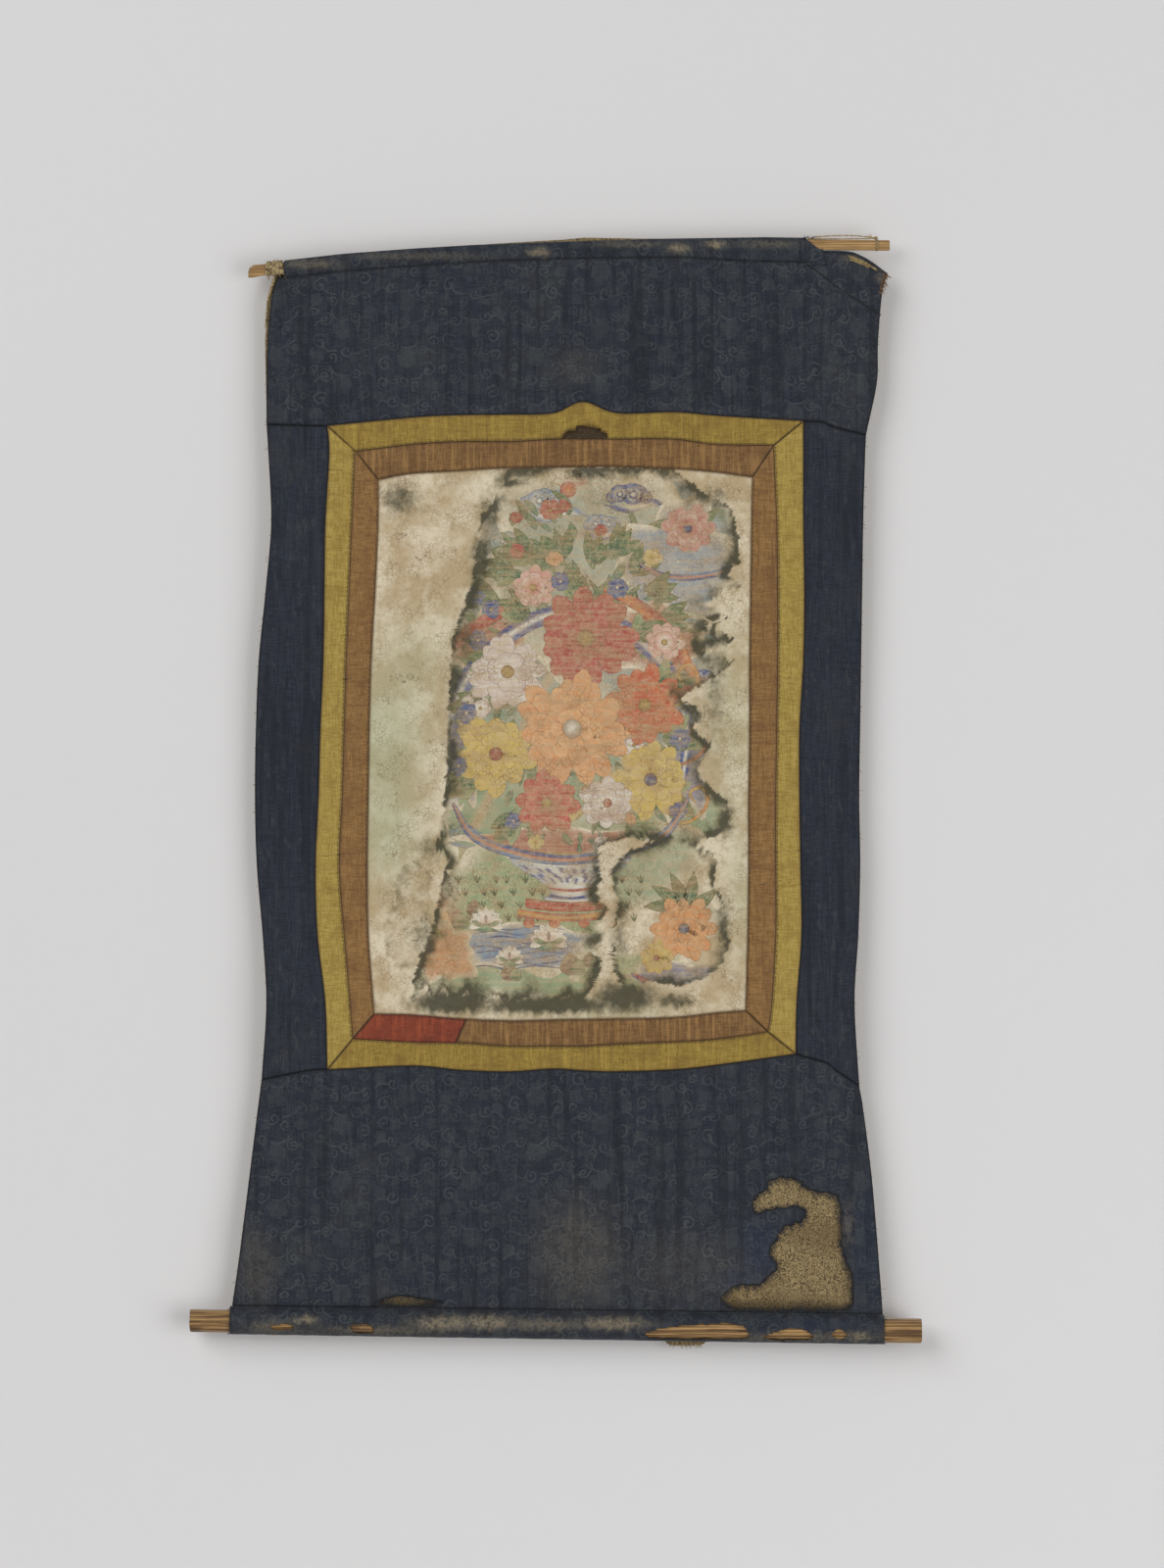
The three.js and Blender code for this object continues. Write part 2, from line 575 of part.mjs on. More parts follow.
function liningDepth(x, z) {
  const { smoothstep, mapLinear } = THREE.MathUtils;
  const under = heightAt(STAVE_LINE, Math.min(x, BEHIND_STAVE.endsFrom)) - z;
  const nearStave = 1 - smoothstep(under, BEHIND_STAVE.from, BEHIND_STAVE.to);
  const ends = 1 - smoothstep(x, BEHIND_STAVE.endsFrom, BEHIND_STAVE.endsTo);
  const panel = foldDepth(x, z) + LINING_STEP + (BEHIND_STAVE.y - LINING_STEP) * nearStave * ends;
  const reach = rollerRadius(x) + BEHIND_ROLLER;
  const rise = z - rollerHeight(x);
  const touch = reach / 2;
  const leaves = 2 * reach;
  const onRoller = Math.sqrt(reach ** 2 - Math.max(Math.min(rise, touch), LINING_END) ** 2);
  const slanted = mapLinear(Math.min(rise, leaves), touch, leaves, Math.sqrt(reach ** 2 - touch ** 2), 0);
  return Math.max(panel, rise < touch ? onRoller : slanted);
}

function makeLining() {
  const upwards = (top, key, bottom) => reversed([...top, ...column(LEVELS, key), ...bottom].map(swapped));
  const leftLine = upwards(LINING_LEFT_EDGE, 'edgeL', BOTTOM_LEFT_EDGE);
  const rightLine = upwards(TOP_RIGHT_EDGE, 'edgeR', BOTTOM_RIGHT_EDGE);
  const inset = CLOTH / 2;
  const xAt = (share, z) => {
    const left = heightAt(leftLine, z) + inset;
    const right = heightAt(rightLine, z) - inset;
    return THREE.MathUtils.lerp(left, right, share);
  };
  const grid = [];
  const addRow = (height) => {
    const row = [];
    for (let col = 0; col <= LINING_COLUMNS; col += 1) {
      const share = col / LINING_COLUMNS;
      const nearly = xAt(share, height(xAt(share, height(0))));
      const x = xAt(share, height(nearly));
      row.push(new THREE.Vector2(x, height(x)));
    }
    grid.push(row);
  };
  const top = (x) => heightAt(LINING_TOP, x);
  const slipped = CLOTH * 3;
  const underStave = (x) => Math.min(heightAt(STAVE_LINE, x) - BEHIND_STAVE.from, top(x) - slipped);
  const clear = (x) => underStave(x) - (BEHIND_STAVE.to - BEHIND_STAVE.from);
  const overRoller = (x) => rollerHeight(x) + 2 * (rollerRadius(x) + BEHIND_ROLLER);
  const hangs = (x) => (Math.abs(x - TONGUE.x) < TONGUE.halfWidth ? TONGUE.drop : 0);
  addRow((x) => rollerHeight(x) + LINING_END - hangs(x));
  for (const rise of [-4, 2, 8, 17]) addRow((x) => rollerHeight(x) + rise);
  for (let row = 0; row <= LINING_ROWS; row += 1) {
    addRow((x) => THREE.MathUtils.lerp(overRoller(x), clear(x), row / LINING_ROWS));
  }
  addRow(underStave);
  addRow(top);
  return sheet(grid, liningDepth);
}

// Torn cloth and thread wound round the stave at its left end: how far it stands out at each station
const LASHING = [
  { x: -308, above: 1.2, depth: 1.1, below: 1.5 }, { x: -304, above: 2.6, depth: 1.6, below: 2 },
  { x: -299, above: 2, depth: 1.4, below: 1.8 }, { x: -295, above: 2.9, depth: 1.8, below: 2.2 },
  { x: -290.6, above: 1.6, depth: 1.2, below: 1.6 },
];

function makeLashing() {
  const outer = [];
  const inner = [];
  const half = STAVE_THICKNESS / 2 + STAVE_ROOM;
  const top = STAVE_HEIGHT / 2 + STAVE_ROOM;
  LASHING.forEach(({ x, above, depth, below }, index) => {
    const underside = heightAt(STAVE_LINE, x) - top;
    outer.push(ringAt(x, staveCasingSection(x, half + depth, top + above, underside - below)));
    const inside = staveCasingSection(x, half, top, underside - STAVE_ROOM / 2);
    inner.push(ringAt(x + runOut(index, LASHING.length - 1), inside));
  });
  return toGeometry(sleeve(outer, inner));
}

function cord(points) {
  const path = new THREE.CatmullRomCurve3(points.map((point) => new THREE.Vector3(...point)));
  const section = new THREE.Shape();
  section.absarc(0, 0, STRING / 2, 0, 2 * Math.PI);
  return toManifold(new THREE.ExtrudeGeometry(section, {
    steps: points.length * 2, curveSegments: 3, extrudePath: path, bevelEnabled: false,
  }));
}

// String knotted in the notch at the right tip; its two strands run back to the casing. A strand's
// points are given by x, depth and height over the line on which a string lies along the stave
const KNOT = { x: NOTCH_X - 0.8, radius: 1.8, steps: 12, lap: 0.15, squareness: 0.62, room: 0.5 };
const UPPER_STRAND = [
  { x: 251.8, y: -0.9, over: 1.6 }, { x: 270, y: -0.9, over: 3.2 }, { x: 291, y: -0.6, over: 3.4 },
  { x: 314, y: 0, over: 0.8 },
];
const LOWER_STRAND = [
  { x: 243.8, y: 0.8, over: 0.2 }, { x: 275, y: 0.8, over: 0 }, { x: 314, y: 0.4, over: 0.5 },
];

function makeString() {
  const height = STAVE_HEIGHT / 2 - NOTCH_DEPTH + STRING / 2 + KNOT.room;
  const depth = STAVE_THICKNESS / 2 + STRING / 2 + KNOT.room;
  const middle = heightAt(STAVE_LINE, NOTCH_X);
  const loop = [];
  for (let step = 0; step <= KNOT.steps; step += 1) {
    const turn = (step / KNOT.steps) * (2 * Math.PI + KNOT.lap) + Math.PI / 2;
    const cos = Math.cos(turn);
    const sin = Math.sin(turn);
    const square = 1 / Math.max(Math.abs(cos), Math.abs(sin)) ** KNOT.squareness;
    loop.push([NOTCH_X, depth * square * cos, middle + height * square * sin]);
  }
  const knot = new THREE.SphereGeometry(KNOT.radius, 8, 6);
  knot.translate(KNOT.x, 0, middle + STAVE_HEIGHT / 2 + KNOT.radius + SEAM_GAP);
  const along = heightAt(STAVE_LINE, 270) + STAVE_HEIGHT / 2 + STRING / 2 + SEAM_GAP + 0.05;
  const strand = (rows) => cord(rows.map(({ x, y, over }) => [x, y, along + over]));
  const strands = strand(UPPER_STRAND).add(strand(LOWER_STRAND));
  return toGeometry(cord(loop).add(toManifold(knot)).add(strands));
}

// Side panels hang from the shoulders of the top panel
const edgeLeft = spaced(
  [BOTTOM_LEFT_EDGE[0], ...reversed(column(LEVELS, 'edgeL')), SHOULDERS.topLeft[0]], DOWN,
);
const edgeRight = spaced(
  [SHOULDERS.bottomRight[4], ...reversed(column(LEVELS, 'edgeR')), SHOULDERS.topRight[3]], DOWN,
);

// The left quarter of the lower brown strip is a red piece that meets it at an upright joint
const patchEnd = ACROSS / 4;
const joint = mitre(seams.seamB[patchEnd].toArray(), seams.pictureB[patchEnd].toArray());
const corner = {
  goldTL: mitre(seam.tl, gold.tl), goldTR: mitre(seam.tr, gold.tr),
  goldBL: mitre(gold.bl, seam.bl), goldBR: mitre(gold.br, seam.br),
  brownTL: mitre(picture.tl, seam.tl), brownTR: mitre(picture.tr, seam.tr),
  brownBL: mitre(seam.bl, picture.bl), brownBR: mitre(seam.br, picture.br),
};

// Flat pieces: each lies between its bottom, right, top and left side
const FLAT_PIECES = {
  silk_left: ['silk', seams.bottomLeft, seams.goldL, seams.topLeft, edgeLeft],
  silk_right: ['silk', seams.bottomRight, edgeRight, seams.topRight, seams.goldR],
  gold_bottom: ['gold', seams.goldB, corner.goldBR, seams.seamB, corner.goldBL],
  gold_left: ['gold', corner.goldBL, seams.seamL, reversed(corner.goldTL), seams.goldL],
  gold_right: ['gold', reversed(corner.goldBR), seams.goldR, corner.goldTR, seams.seamR],
  brown_top: ['brown', seams.pictureT, corner.brownTR, seams.seamT, corner.brownTL],
  brown_left: ['brown', corner.brownBL, seams.pictureL, reversed(corner.brownTL), seams.seamL],
  brown_right: ['brown', reversed(corner.brownBR), seams.seamR, corner.brownTR, seams.pictureR],
  brown_bottom: [
    'brown', seams.seamB.slice(patchEnd), corner.brownBR, seams.pictureB.slice(patchEnd), joint,
  ],
  red_patch: [
    'red', seams.seamB.slice(0, patchEnd + 1), joint, seams.pictureB.slice(0, patchEnd + 1),
    corner.brownBL,
  ],
  picture: ['canvas', seams.pictureB, seams.pictureR, seams.pictureT, seams.pictureL],
};

const ROUGHNESS = {
  silk: 0.7, gold: 0.75, brown: 0.75, red: 0.75, lining: 0.9,
  canvas: 0.85, stave: 0.6, roller: 0.6, string: 0.9,
};

const group = new THREE.Group();

function place(name, geometry, finish) {
  geometry.computeVertexNormals();
  const material = new THREE.MeshStandardMaterial({
    color: COLOURS[finish], roughness: ROUGHNESS[finish], metalness: 0,
  });
  const mesh = new THREE.Mesh(geometry, material);
  mesh.name = name;
  group.add(mesh);
}

place('stave', makeStave(), 'stave');
place('roller', makeRoller(), 'roller');
place('lining', makeLining(), 'lining');
place('silk_top', makeTopPanel(), 'silk');
place('silk_bottom', makeBottomPanel(), 'silk');
place('gold_top', makeGoldTop(), 'gold');
for (const [name, [finish, ...sides]] of Object.entries(FLAT_PIECES)) {
  place(name, sheet(between(...sides), foldDepth), finish);
}
place('lashing', makeLashing(), 'lining');
place('hanging_string', makeString(), 'string');

export default group;
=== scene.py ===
# A painted cotton picture in a worn silk mounting, hung from a bamboo stave, with a wooden roller at
# its foot. The script follows the piece as it is put together: light and room first, then the roller
# and the stave, the lining, the silks from the outside inwards, the picture, and last the threads.
# Sizes are in millimetres, and become metres when a mesh is made. The picture faces -Y.

import math

import bpy
import numpy as np
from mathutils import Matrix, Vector


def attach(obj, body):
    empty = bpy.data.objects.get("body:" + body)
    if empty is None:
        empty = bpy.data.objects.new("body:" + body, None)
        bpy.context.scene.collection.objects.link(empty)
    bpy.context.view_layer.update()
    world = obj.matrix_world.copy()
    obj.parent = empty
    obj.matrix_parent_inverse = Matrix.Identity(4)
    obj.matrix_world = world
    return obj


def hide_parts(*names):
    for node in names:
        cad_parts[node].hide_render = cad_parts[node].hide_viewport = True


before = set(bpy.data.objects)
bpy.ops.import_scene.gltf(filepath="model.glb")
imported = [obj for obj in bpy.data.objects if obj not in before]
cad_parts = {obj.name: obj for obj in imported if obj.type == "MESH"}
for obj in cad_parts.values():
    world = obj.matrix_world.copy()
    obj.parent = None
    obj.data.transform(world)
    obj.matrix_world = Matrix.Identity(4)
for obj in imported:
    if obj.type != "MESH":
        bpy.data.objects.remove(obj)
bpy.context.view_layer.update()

# The room: a pale wall close behind the hanging, a pale floor below it, and soft light from the upper
# left. The wall can be seen from the front only, so the back of the hanging can be looked at too.
MM = 0.001
VIEW_CENTRE = (14, -546.5)
VIEW_HEIGHT = 1600
VIEW_DISTANCE = 6000
SENSOR = 24
ROOM_LIGHT = 0.42
LAMPS = [
    # name, place in metres, width in metres, watts
    ("key_light", (-3.9, -4.6, 2.4), 4.6, 250),
    ("fill_light", (3.6, -4.2, -1.4), 4.2, 150),
    ("back_light", (0.8, 3.6, 0.6), 2.6, 90),
]
WALL_Y = 24
FLOOR_Z = -1640


def light_of(seen):
    """Colours as seen on a screen, 0 to 255, as the light that they stand for."""
    share = np.asarray(seen) / 255
    return np.where(share <= 0.04045, share / 12.92, ((share + 0.055) / 1.055) ** 2.4)


def linear(red, green, blue):
    return (*light_of((red, green, blue)).tolist(), 1)


def make_room():
    scene = bpy.context.scene
    camera = bpy.data.cameras.new("camera")
    camera.sensor_fit = "VERTICAL"
    camera.sensor_height = SENSOR
    camera.lens = SENSOR * VIEW_DISTANCE / VIEW_HEIGHT
    camera.clip_end = 100
    seat = bpy.data.objects.new("camera", camera)
    seat.location = (VIEW_CENTRE[0] * MM, -VIEW_DISTANCE * MM, VIEW_CENTRE[1] * MM)
    seat.rotation_euler = (math.pi / 2, 0, 0)
    scene.collection.objects.link(seat)
    scene.camera = seat
    scene.view_settings.view_transform = "Standard"

    world = bpy.data.worlds.new("room")
    world.use_nodes = True
    sky = world.node_tree.nodes["Background"]
    sky.inputs["Color"].default_value = linear(232, 231, 231)
    sky.inputs["Strength"].default_value = ROOM_LIGHT
    scene.world = world

    for name, place, width, watts in LAMPS:
        light = bpy.data.lights.new(name, "AREA")
        light.size = width
        light.energy = watts
        holder = bpy.data.objects.new(name, light)
        holder.location = place
        towards = Vector((0, 0, VIEW_CENTRE[1] * MM)) - holder.location
        holder.rotation_euler = towards.to_track_quat("-Z", "Y").to_euler()
        scene.collection.objects.link(holder)


def make_wall_and_floor():
    pale = bpy.data.materials.new("pale_wall")
    pale.use_nodes = True
    tree = pale.node_tree
    shader = tree.nodes["Principled BSDF"]
    shader.inputs["Base Color"].default_value = (0.65, 0.645, 0.645, 1)
    shader.inputs["Roughness"].default_value = 0.9
    seen_from = tree.nodes.new("ShaderNodeNewGeometry")
    clear = tree.nodes.new("ShaderNodeBsdfTransparent")
    either = tree.nodes.new("ShaderNodeMixShader")
    tree.links.new(seen_from.outputs["Backfacing"], either.inputs["Fac"])
    tree.links.new(shader.outputs["BSDF"], either.inputs[1])
    tree.links.new(clear.outputs["BSDF"], either.inputs[2])
    tree.links.new(either.outputs["Shader"], tree.nodes["Material Output"].inputs["Surface"])
    middle, half = VIEW_CENTRE[0], 1500
    top, bottom = 1400, FLOOR_Z
    wall = [(middle - half, WALL_Y, bottom), (middle + half, WALL_Y, bottom),
            (middle + half, WALL_Y, top), (middle - half, WALL_Y, top)]
    deep = WALL_Y + half
    floor = [(middle - half, -deep, bottom), (middle + half, -deep, bottom),
             (middle + half, deep, bottom), (middle - half, deep, bottom)]
    for name, corners in (("wall", wall), ("floor", floor)):
        mesh = bpy.data.meshes.new(name)
        mesh.from_pydata([tuple(c * MM for c in corner) for corner in corners], [], [(0, 1, 2, 3)])
        mesh.materials.append(pale)
        board = bpy.data.objects.new(name, mesh)
        board.visible_shadow = False
        bpy.context.scene.collection.objects.link(board)


make_room()
make_wall_and_floor()


# The roller is a whittled stick of soft wood, thicker at its right end and sawn off at both ends. Its
# wood is dry, brown and cracked along the grain, and darker where hands and the silk have rubbed it.
ROLLER_LEFT = {"x": -386, "z": -1094, "radius": 11.7}
ROLLER_RIGHT = {"x": 360.5, "z": -1104.5, "radius": 12.8}
ROLLER_FLATS = 8
FLATTENED = 0.35   # share of the octagon in the section; the rest of it is round
ARRIS = 0.6435     # the round share: where it tops out at 1 the arrises are eased
WHITTLING = 0.014  # depth of the dents as a share of the radius
ROUND_ROLLER, ALONG_ROLLER = 48, 110


class Finish:
    """A material being mixed: each method adds one kind of node and gives back its output."""

    def __init__(self, name, roughness, sheen=0):
        self.material = bpy.data.materials.new(name)
        self.material.use_nodes = True
        self.tree = self.material.node_tree
        self.shader = self.tree.nodes["Principled BSDF"]
        self.shader.inputs["Roughness"].default_value = roughness
        self.shader.inputs["Specular IOR Level"].default_value = 0.35
        self.shader.inputs["Sheen Weight"].default_value = sheen
        self.shader.inputs["Sheen Roughness"].default_value = 0.4
        self.place = self.node("ShaderNodeTexCoord").outputs["Object"]

    def node(self, kind, **settings):
        made = self.tree.nodes.new(kind)
        for name, value in settings.items():
            setattr(made, name, value)
        return made

    def feed(self, socket, value):
        """Links another node's output, or sets a number or a colour of three numbers from 0 to 255."""
        if isinstance(value, bpy.types.NodeSocket):
            self.tree.links.new(value, socket)
        elif value is not None:
            socket.default_value = linear(*value) if isinstance(value, tuple) else value

    def maths(self, operation, first, second=None, third=None):
        made = self.node("ShaderNodeMath", operation=operation)
        for socket, value in zip(made.inputs, (first, second, third)):
            self.feed(socket, value)
        return made.outputs[0]

    def times(self, first, second):
        return self.maths("MULTIPLY", first, second)

    def times_plus(self, first, second, third):
        return self.maths("MULTIPLY_ADD", first, second, third)

    def stretched(self, x, y, z, turn=0):
        """Object coordinates in repeats per metre along each axis, turned in the picture plane."""
        made = self.node("ShaderNodeMapping")
        made.inputs["Scale"].default_value = (x, y, z)
        made.inputs["Rotation"].default_value = (0, math.radians(turn), 0)
        self.feed(made.inputs["Vector"], self.place)
        return made.outputs[0]

    def noise(self, size, detail=3, stretch=(1, 1, 1), rough=0.55, turn=0, warp=0):
        """Cloudy noise with patches of about the given size in millimetres, stretched along an axis."""
        made = self.node("ShaderNodeTexNoise")
        rate = 1 / (size * MM)
        where = self.stretched(*(rate / s for s in stretch), turn=turn)
        self.feed(made.inputs["Vector"], where)
        self.feed(made.inputs["Scale"], 1)
        self.feed(made.inputs["Detail"], detail)
        self.feed(made.inputs["Roughness"], rough)
        self.feed(made.inputs["Distortion"], warp)
        return made.outputs["Fac"]

    def step(self, value, low, high, to_low=0, to_high=1):
        """Smooth step from one level to another between two values."""
        made = self.node("ShaderNodeMapRange", interpolation_type="SMOOTHSTEP")
        for name, number in (("From Min", low), ("From Max", high), ("To Min", to_low), ("To Max", to_high)):
            made.inputs[name].default_value = number
        self.feed(made.inputs["Value"], value)
        return made.outputs["Result"]

    def mix(self, share, first, second):
        """Second colour over the first one by a share."""
        made = self.node("ShaderNodeMix", data_type="RGBA")
        self.feed(made.inputs[0], share)
        self.feed(made.inputs[6], first)
        self.feed(made.inputs[7], second)
        return made.outputs[2]

    def over(self, base, value, low, high, share, colour):
        """A colour over the base by up to a share, where a value steps from low to high."""
        return self.mix(self.step(value, low, high, 0, share), base, colour)

    def attribute(self, name, colour=False):
        made = self.node("ShaderNodeAttribute", attribute_name=name)
        return made.outputs["Color" if colour else "Fac"]

    def finish(self, colour, height, depth, roughness=None):
        """Connects colour, bump height (depth is in millimetres) and, where given, roughness."""
        self.feed(self.shader.inputs["Base Color"], colour)
        bump = self.node("ShaderNodeBump")
        bump.inputs["Distance"].default_value = depth * MM
        bump.inputs["Strength"].default_value = 1
        self.feed(bump.inputs["Height"], height)
        self.tree.links.new(bump.outputs["Normal"], self.shader.inputs["Normal"])
        if roughness is not None:
            self.feed(self.shader.inputs["Roughness"], roughness)
        return self.material


def add_piece(name, points, faces, material):
    """Mesh piece from points in millimetres (n by 3) and faces of three or four corners each."""
    mesh = bpy.data.meshes.new(name)
    corners = faces.tolist() if isinstance(faces, np.ndarray) else faces
    mesh.from_pydata((np.asarray(points) * MM).tolist(), [], corners)
    mesh.polygons.foreach_set("use_smooth", np.ones(len(mesh.polygons), bool))
    mesh.materials.append(material)
    mesh.update()
    piece = bpy.data.objects.new(name, mesh)
    bpy.context.scene.collection.objects.link(piece)
    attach(piece, "root")
    return piece


def upright(x, z, y):
    """Points from x, z and depth, each a number, a row, a column or a grid, spread over each other."""
    return np.stack(np.broadcast_arrays(x, y, z), -1)


def even(count):
    """Evenly spaced shares from 0 to 1."""
    return np.linspace(0, 1, count)


def full_turn(count):
    """Angles once round, the last one short of the first."""
    return np.linspace(0, 2 * np.pi, count, endpoint=False)


def quads(rows, columns, closed=False):
    """Corner numbers of the cells of a grid of points, wrapped round its columns where it is closed."""
    row = np.arange(rows - 1)[:, None]
    column = np.arange(columns if closed else columns - 1)[None, :]
    following = (column + 1) % columns
    here, there = row * columns, (row + 1) * columns
    return np.stack([here + column, here + following, there + following, there + column], -1).reshape(-1, 4)


def tube(rings):
    """Points and faces of a solid carried through rings of points, closed by a fan at each end."""
    count, sides = rings.shape[:2]
    points = np.vstack([rings.reshape(-1, 3), rings[0].mean(0), rings[-1].mean(0)])
    side = np.arange(sides)
    following = (side + 1) % sides
    base = (count - 1) * sides
    walls = quads(count, sides, closed=True)
    start = np.column_stack([np.full(sides, count * sides), following, side])
    end = np.column_stack([np.full(sides, count * sides + 1), base + side, base + following])
    return points, walls.tolist() + start.tolist() + end.tolist()


def roller_at(x, measure):
    share = (x - ROLLER_LEFT["x"]) / (ROLLER_RIGHT["x"] - ROLLER_LEFT["x"])
    return ROLLER_LEFT[measure] * (1 - share) + ROLLER_RIGHT[measure] * share


def roller_height(x):
    return roller_at(x, "z")


def roller_radius(x):
    return roller_at(x, "radius")


def waves(value, lengths, seed):
    """Uneven wavy line from -1 to 1: sines of the given wavelengths with seeded phases, added up."""
    phases = np.random.default_rng(seed).uniform(0, 2 * np.pi, len(lengths))
    total = sum(np.sin(2 * np.pi * value / length + phase) for length, phase in zip(lengths, phases))
    return total / len(lengths)


def make_roller():
    """Radius = a whittled octagon's distance to its flats, eased at the arrises, less shallow dents."""
    ends = 1.6
    span = np.linspace(ROLLER_LEFT["x"] + ends, ROLLER_RIGHT["x"] - ends, ALONG_ROLLER)
    x = np.concatenate([[ROLLER_LEFT["x"], ROLLER_LEFT["x"] + 0.4], span,
                        [ROLLER_RIGHT["x"] - 0.4, ROLLER_RIGHT["x"]]])
    turn = full_turn(ROUND_ROLLER)
    flat = 2 * np.pi / ROLLER_FLATS
    across = (turn % flat) - flat / 2
    faceted = np.cos(flat / 2) / np.cos(across)
    section = np.minimum(FLATTENED * faceted + ARRIS, 1)
    radius = roller_radius(x)[:, None] * section[None, :]
    dents = waves(x[:, None] + 9 * np.sin(turn)[None, :], (61, 37, 143), 3)
    radius = radius * (1 - WHITTLING * (0.5 + 0.5 * dents))
    shrink = np.ones(len(x))
    shrink[[0, -1]] = 0.93
    shrink[[1, -2]] = 0.975
    radius = radius * shrink[:, None]
    points = upright(x[:, None], roller_height(x)[:, None] + radius * np.cos(turn), -radius * np.sin(turn))
    # The sawn ends are a little rough and not quite square
    ragged = waves(turn, (2.1, 0.9, 0.5), 5)
    points[:2, :, 0] += 0.25 * ragged[None, :]
    points[-2:, :, 0] -= 0.25 * ragged[None, :]

    wood = Finish("roller_wood", 0.62)
    grain = wood.noise(1.5, 5, stretch=(60, 1, 1), rough=0.6, warp=0.3)
    cracks = wood.step(wood.noise(2.6, 3, stretch=(40, 1, 1)), 0.33, 0.38)
    stain = wood.noise(34, 3, stretch=(2, 1, 1))
    base = wood.mix(wood.step(grain, 0.38, 0.64), (80, 56, 31), (172, 136, 86))
    base = wood.over(base, stain, 0.46, 0.62, 0.75, (64, 44, 28))
    base = wood.mix(cracks, (34, 23, 15), base)
    roughness = wood.step(grain, 0.3, 0.7, 0.72, 0.52)
    height = wood.times(grain, cracks)
    material = wood.finish(base, height, 0.5, roughness)
    piece = add_piece("roller_stick", *tube(points), material)
    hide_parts("roller")


make_roller()


# The stave is a split bamboo slat, bowed by the weight of the cloth. Its left tip is cut off at a
# slant, and a notch near its right tip keeps the hanging string in place.
STAVE_HEIGHT = 10.6
STAVE_THICKNESS = 5
STAVE_ROOM = 0.6
STAVE_HEADROOM = 0.9
INSIDE = 0.6  # from the inside of a casing to the middle of its cloth
STAVE_CUT = {"x": -324.5, "slant": 4}
NOTCH = {"x": 315, "half_width": 1.5, "depth": 0.9}
STAVE_LINE = np.array([
    (-327, -23.5), (-270, -17), (-230, -12.5), (-164, -7.5), (-98, -3.5),
    (0, 0), (100, 3), (200, 4.5), (270, 3.5), (328, 3),
])


def along(line, x):
    """Height of a line of (x, z) points over x, straight between its points."""
    return np.interp(x, line[:, 0], line[:, 1])


def make_stave():
    """Section = a rounded rectangle, a little crowned in front, with the bamboo's thicker nodes."""
    half = STAVE_HEIGHT / 2
    x = np.concatenate([[STAVE_CUT["x"], STAVE_CUT["x"] + 0.8], np.linspace(-321, 312, 150),
                        [313, 313.6, 316.4, 317], np.linspace(318, 327, 6), [328]])
    turn = full_turn(28)
    power = 0.42
    across = np.sign(np.cos(turn)) * np.abs(np.cos(turn)) ** power
    upward = np.sign(np.sin(turn)) * np.abs(np.sin(turn)) ** power
    y = -STAVE_THICKNESS / 2 * across
    middle = along(STAVE_LINE, x)
    high = np.full(len(x), half)
    in_notch = np.abs(x - NOTCH["x"]) <= NOTCH["half_width"]
    high[in_notch] -= NOTCH["depth"]
    joints = sum(np.exp(-((x - place) / 2.5) ** 2) for place in (-190, 110, 288))
    swell = 1 + 0.03 * joints
    height = np.where(upward[None, :] > 0, high[:, None], half) * upward[None, :]
    shrink = np.ones(len(x))
    shrink[[0, -1]] = 0.9
    points = upright(x[:, None], middle[:, None] + height * shrink[:, None],
                     y * swell[:, None] * shrink[:, None])
    # The left tip is a little broader, and cut round at its upper corner
    rounded = np.clip(height / half, 0, 1) ** 2 * STAVE_CUT["slant"] - 2
    points[:, :, 0] += np.where(x < -322, 1, 0)[:, None] * rounded
    points[:, :, 2] += np.exp(-((x + 325) / 14) ** 2)[:, None] * (0.2 * height - 0.5)

    bamboo = Finish("bamboo", 0.5)
    fibre = bamboo.noise(0.9, 5, stretch=(90, 1, 1), rough=0.65)
    tone = bamboo.noise(26, 3, stretch=(3, 1, 1))
    base = bamboo.mix(bamboo.step(fibre, 0.34, 0.68), (120, 88, 48), (184, 150, 98))
    base = bamboo.over(base, tone, 0.46, 0.68, 0.6, (102, 72, 40))
    material = bamboo.finish(base, fibre, 0.25, bamboo.step(fibre, 0.3, 0.7, 0.6, 0.42))
    points, faces = tube(points)
    piece = add_piece("stave_slat", points, faces, material)
    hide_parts("stave")


make_stave()


# The hang of the cloth: silks, picture and lining lie on each other and share the same folds. Soft
# folds first, then creases where the cloth was folded or dragged, then puckers along the sewn strips.
CASING_SEAM = np.array([
    (-297, -31), (-242, -24.5), (-161, -18), (-80, -13), (9, -10), (120, -9), (171, -12.5), (243, -14),
])
SOFT_FOLDS = [
    # x, z, width across, length along, degrees of lean, push towards the wall
    (-304, -275, 34, 60, 4, -4.5),    # left edge, upper waist
    (-318, -560, 40, 120, 0, 3),      # left edge, belly
    (-308, -775, 34, 55, -5, -5),     # left edge, lower waist
    (292, -780, 34, 60, 5, -5),       # right edge, lower waist
    (300, -480, 36, 130, 0, 2.5),     # right edge, middle
    (-191, -120, 22, 110, 0, 2.5),    # old fold through the top panel
    (30, -90, 90, 80, 10, -2.5),      # top panel, middle
    (300, -50, 30, 45, 35, -4),       # slipped corner
    (262, -45, 22, 60, -50, 2.5),     # line of the slipped casing
    (-90, -330, 80, 90, 20, 1.5),     # picture, upper left
    (90, -520, 80, 110, -10, -2),     # picture, middle right
    (-70, -690, 90, 80, 0, 1.8),      # picture, lower left
    (89, -1000, 30, 110, 0, -4),      # upright fold in the bottom panel
    (-140, -960, 70, 100, 8, 3),      # bottom panel, left
    (-20, -940, 60, 90, -6, -2.5),    # bottom panel, centre
    (-306, -1012, 22, 34, 62, -4.5),  # crumple at the lower left edge
    (262, -1000, 40, 60, 0, -3.5),    # bagging beside the tear
]
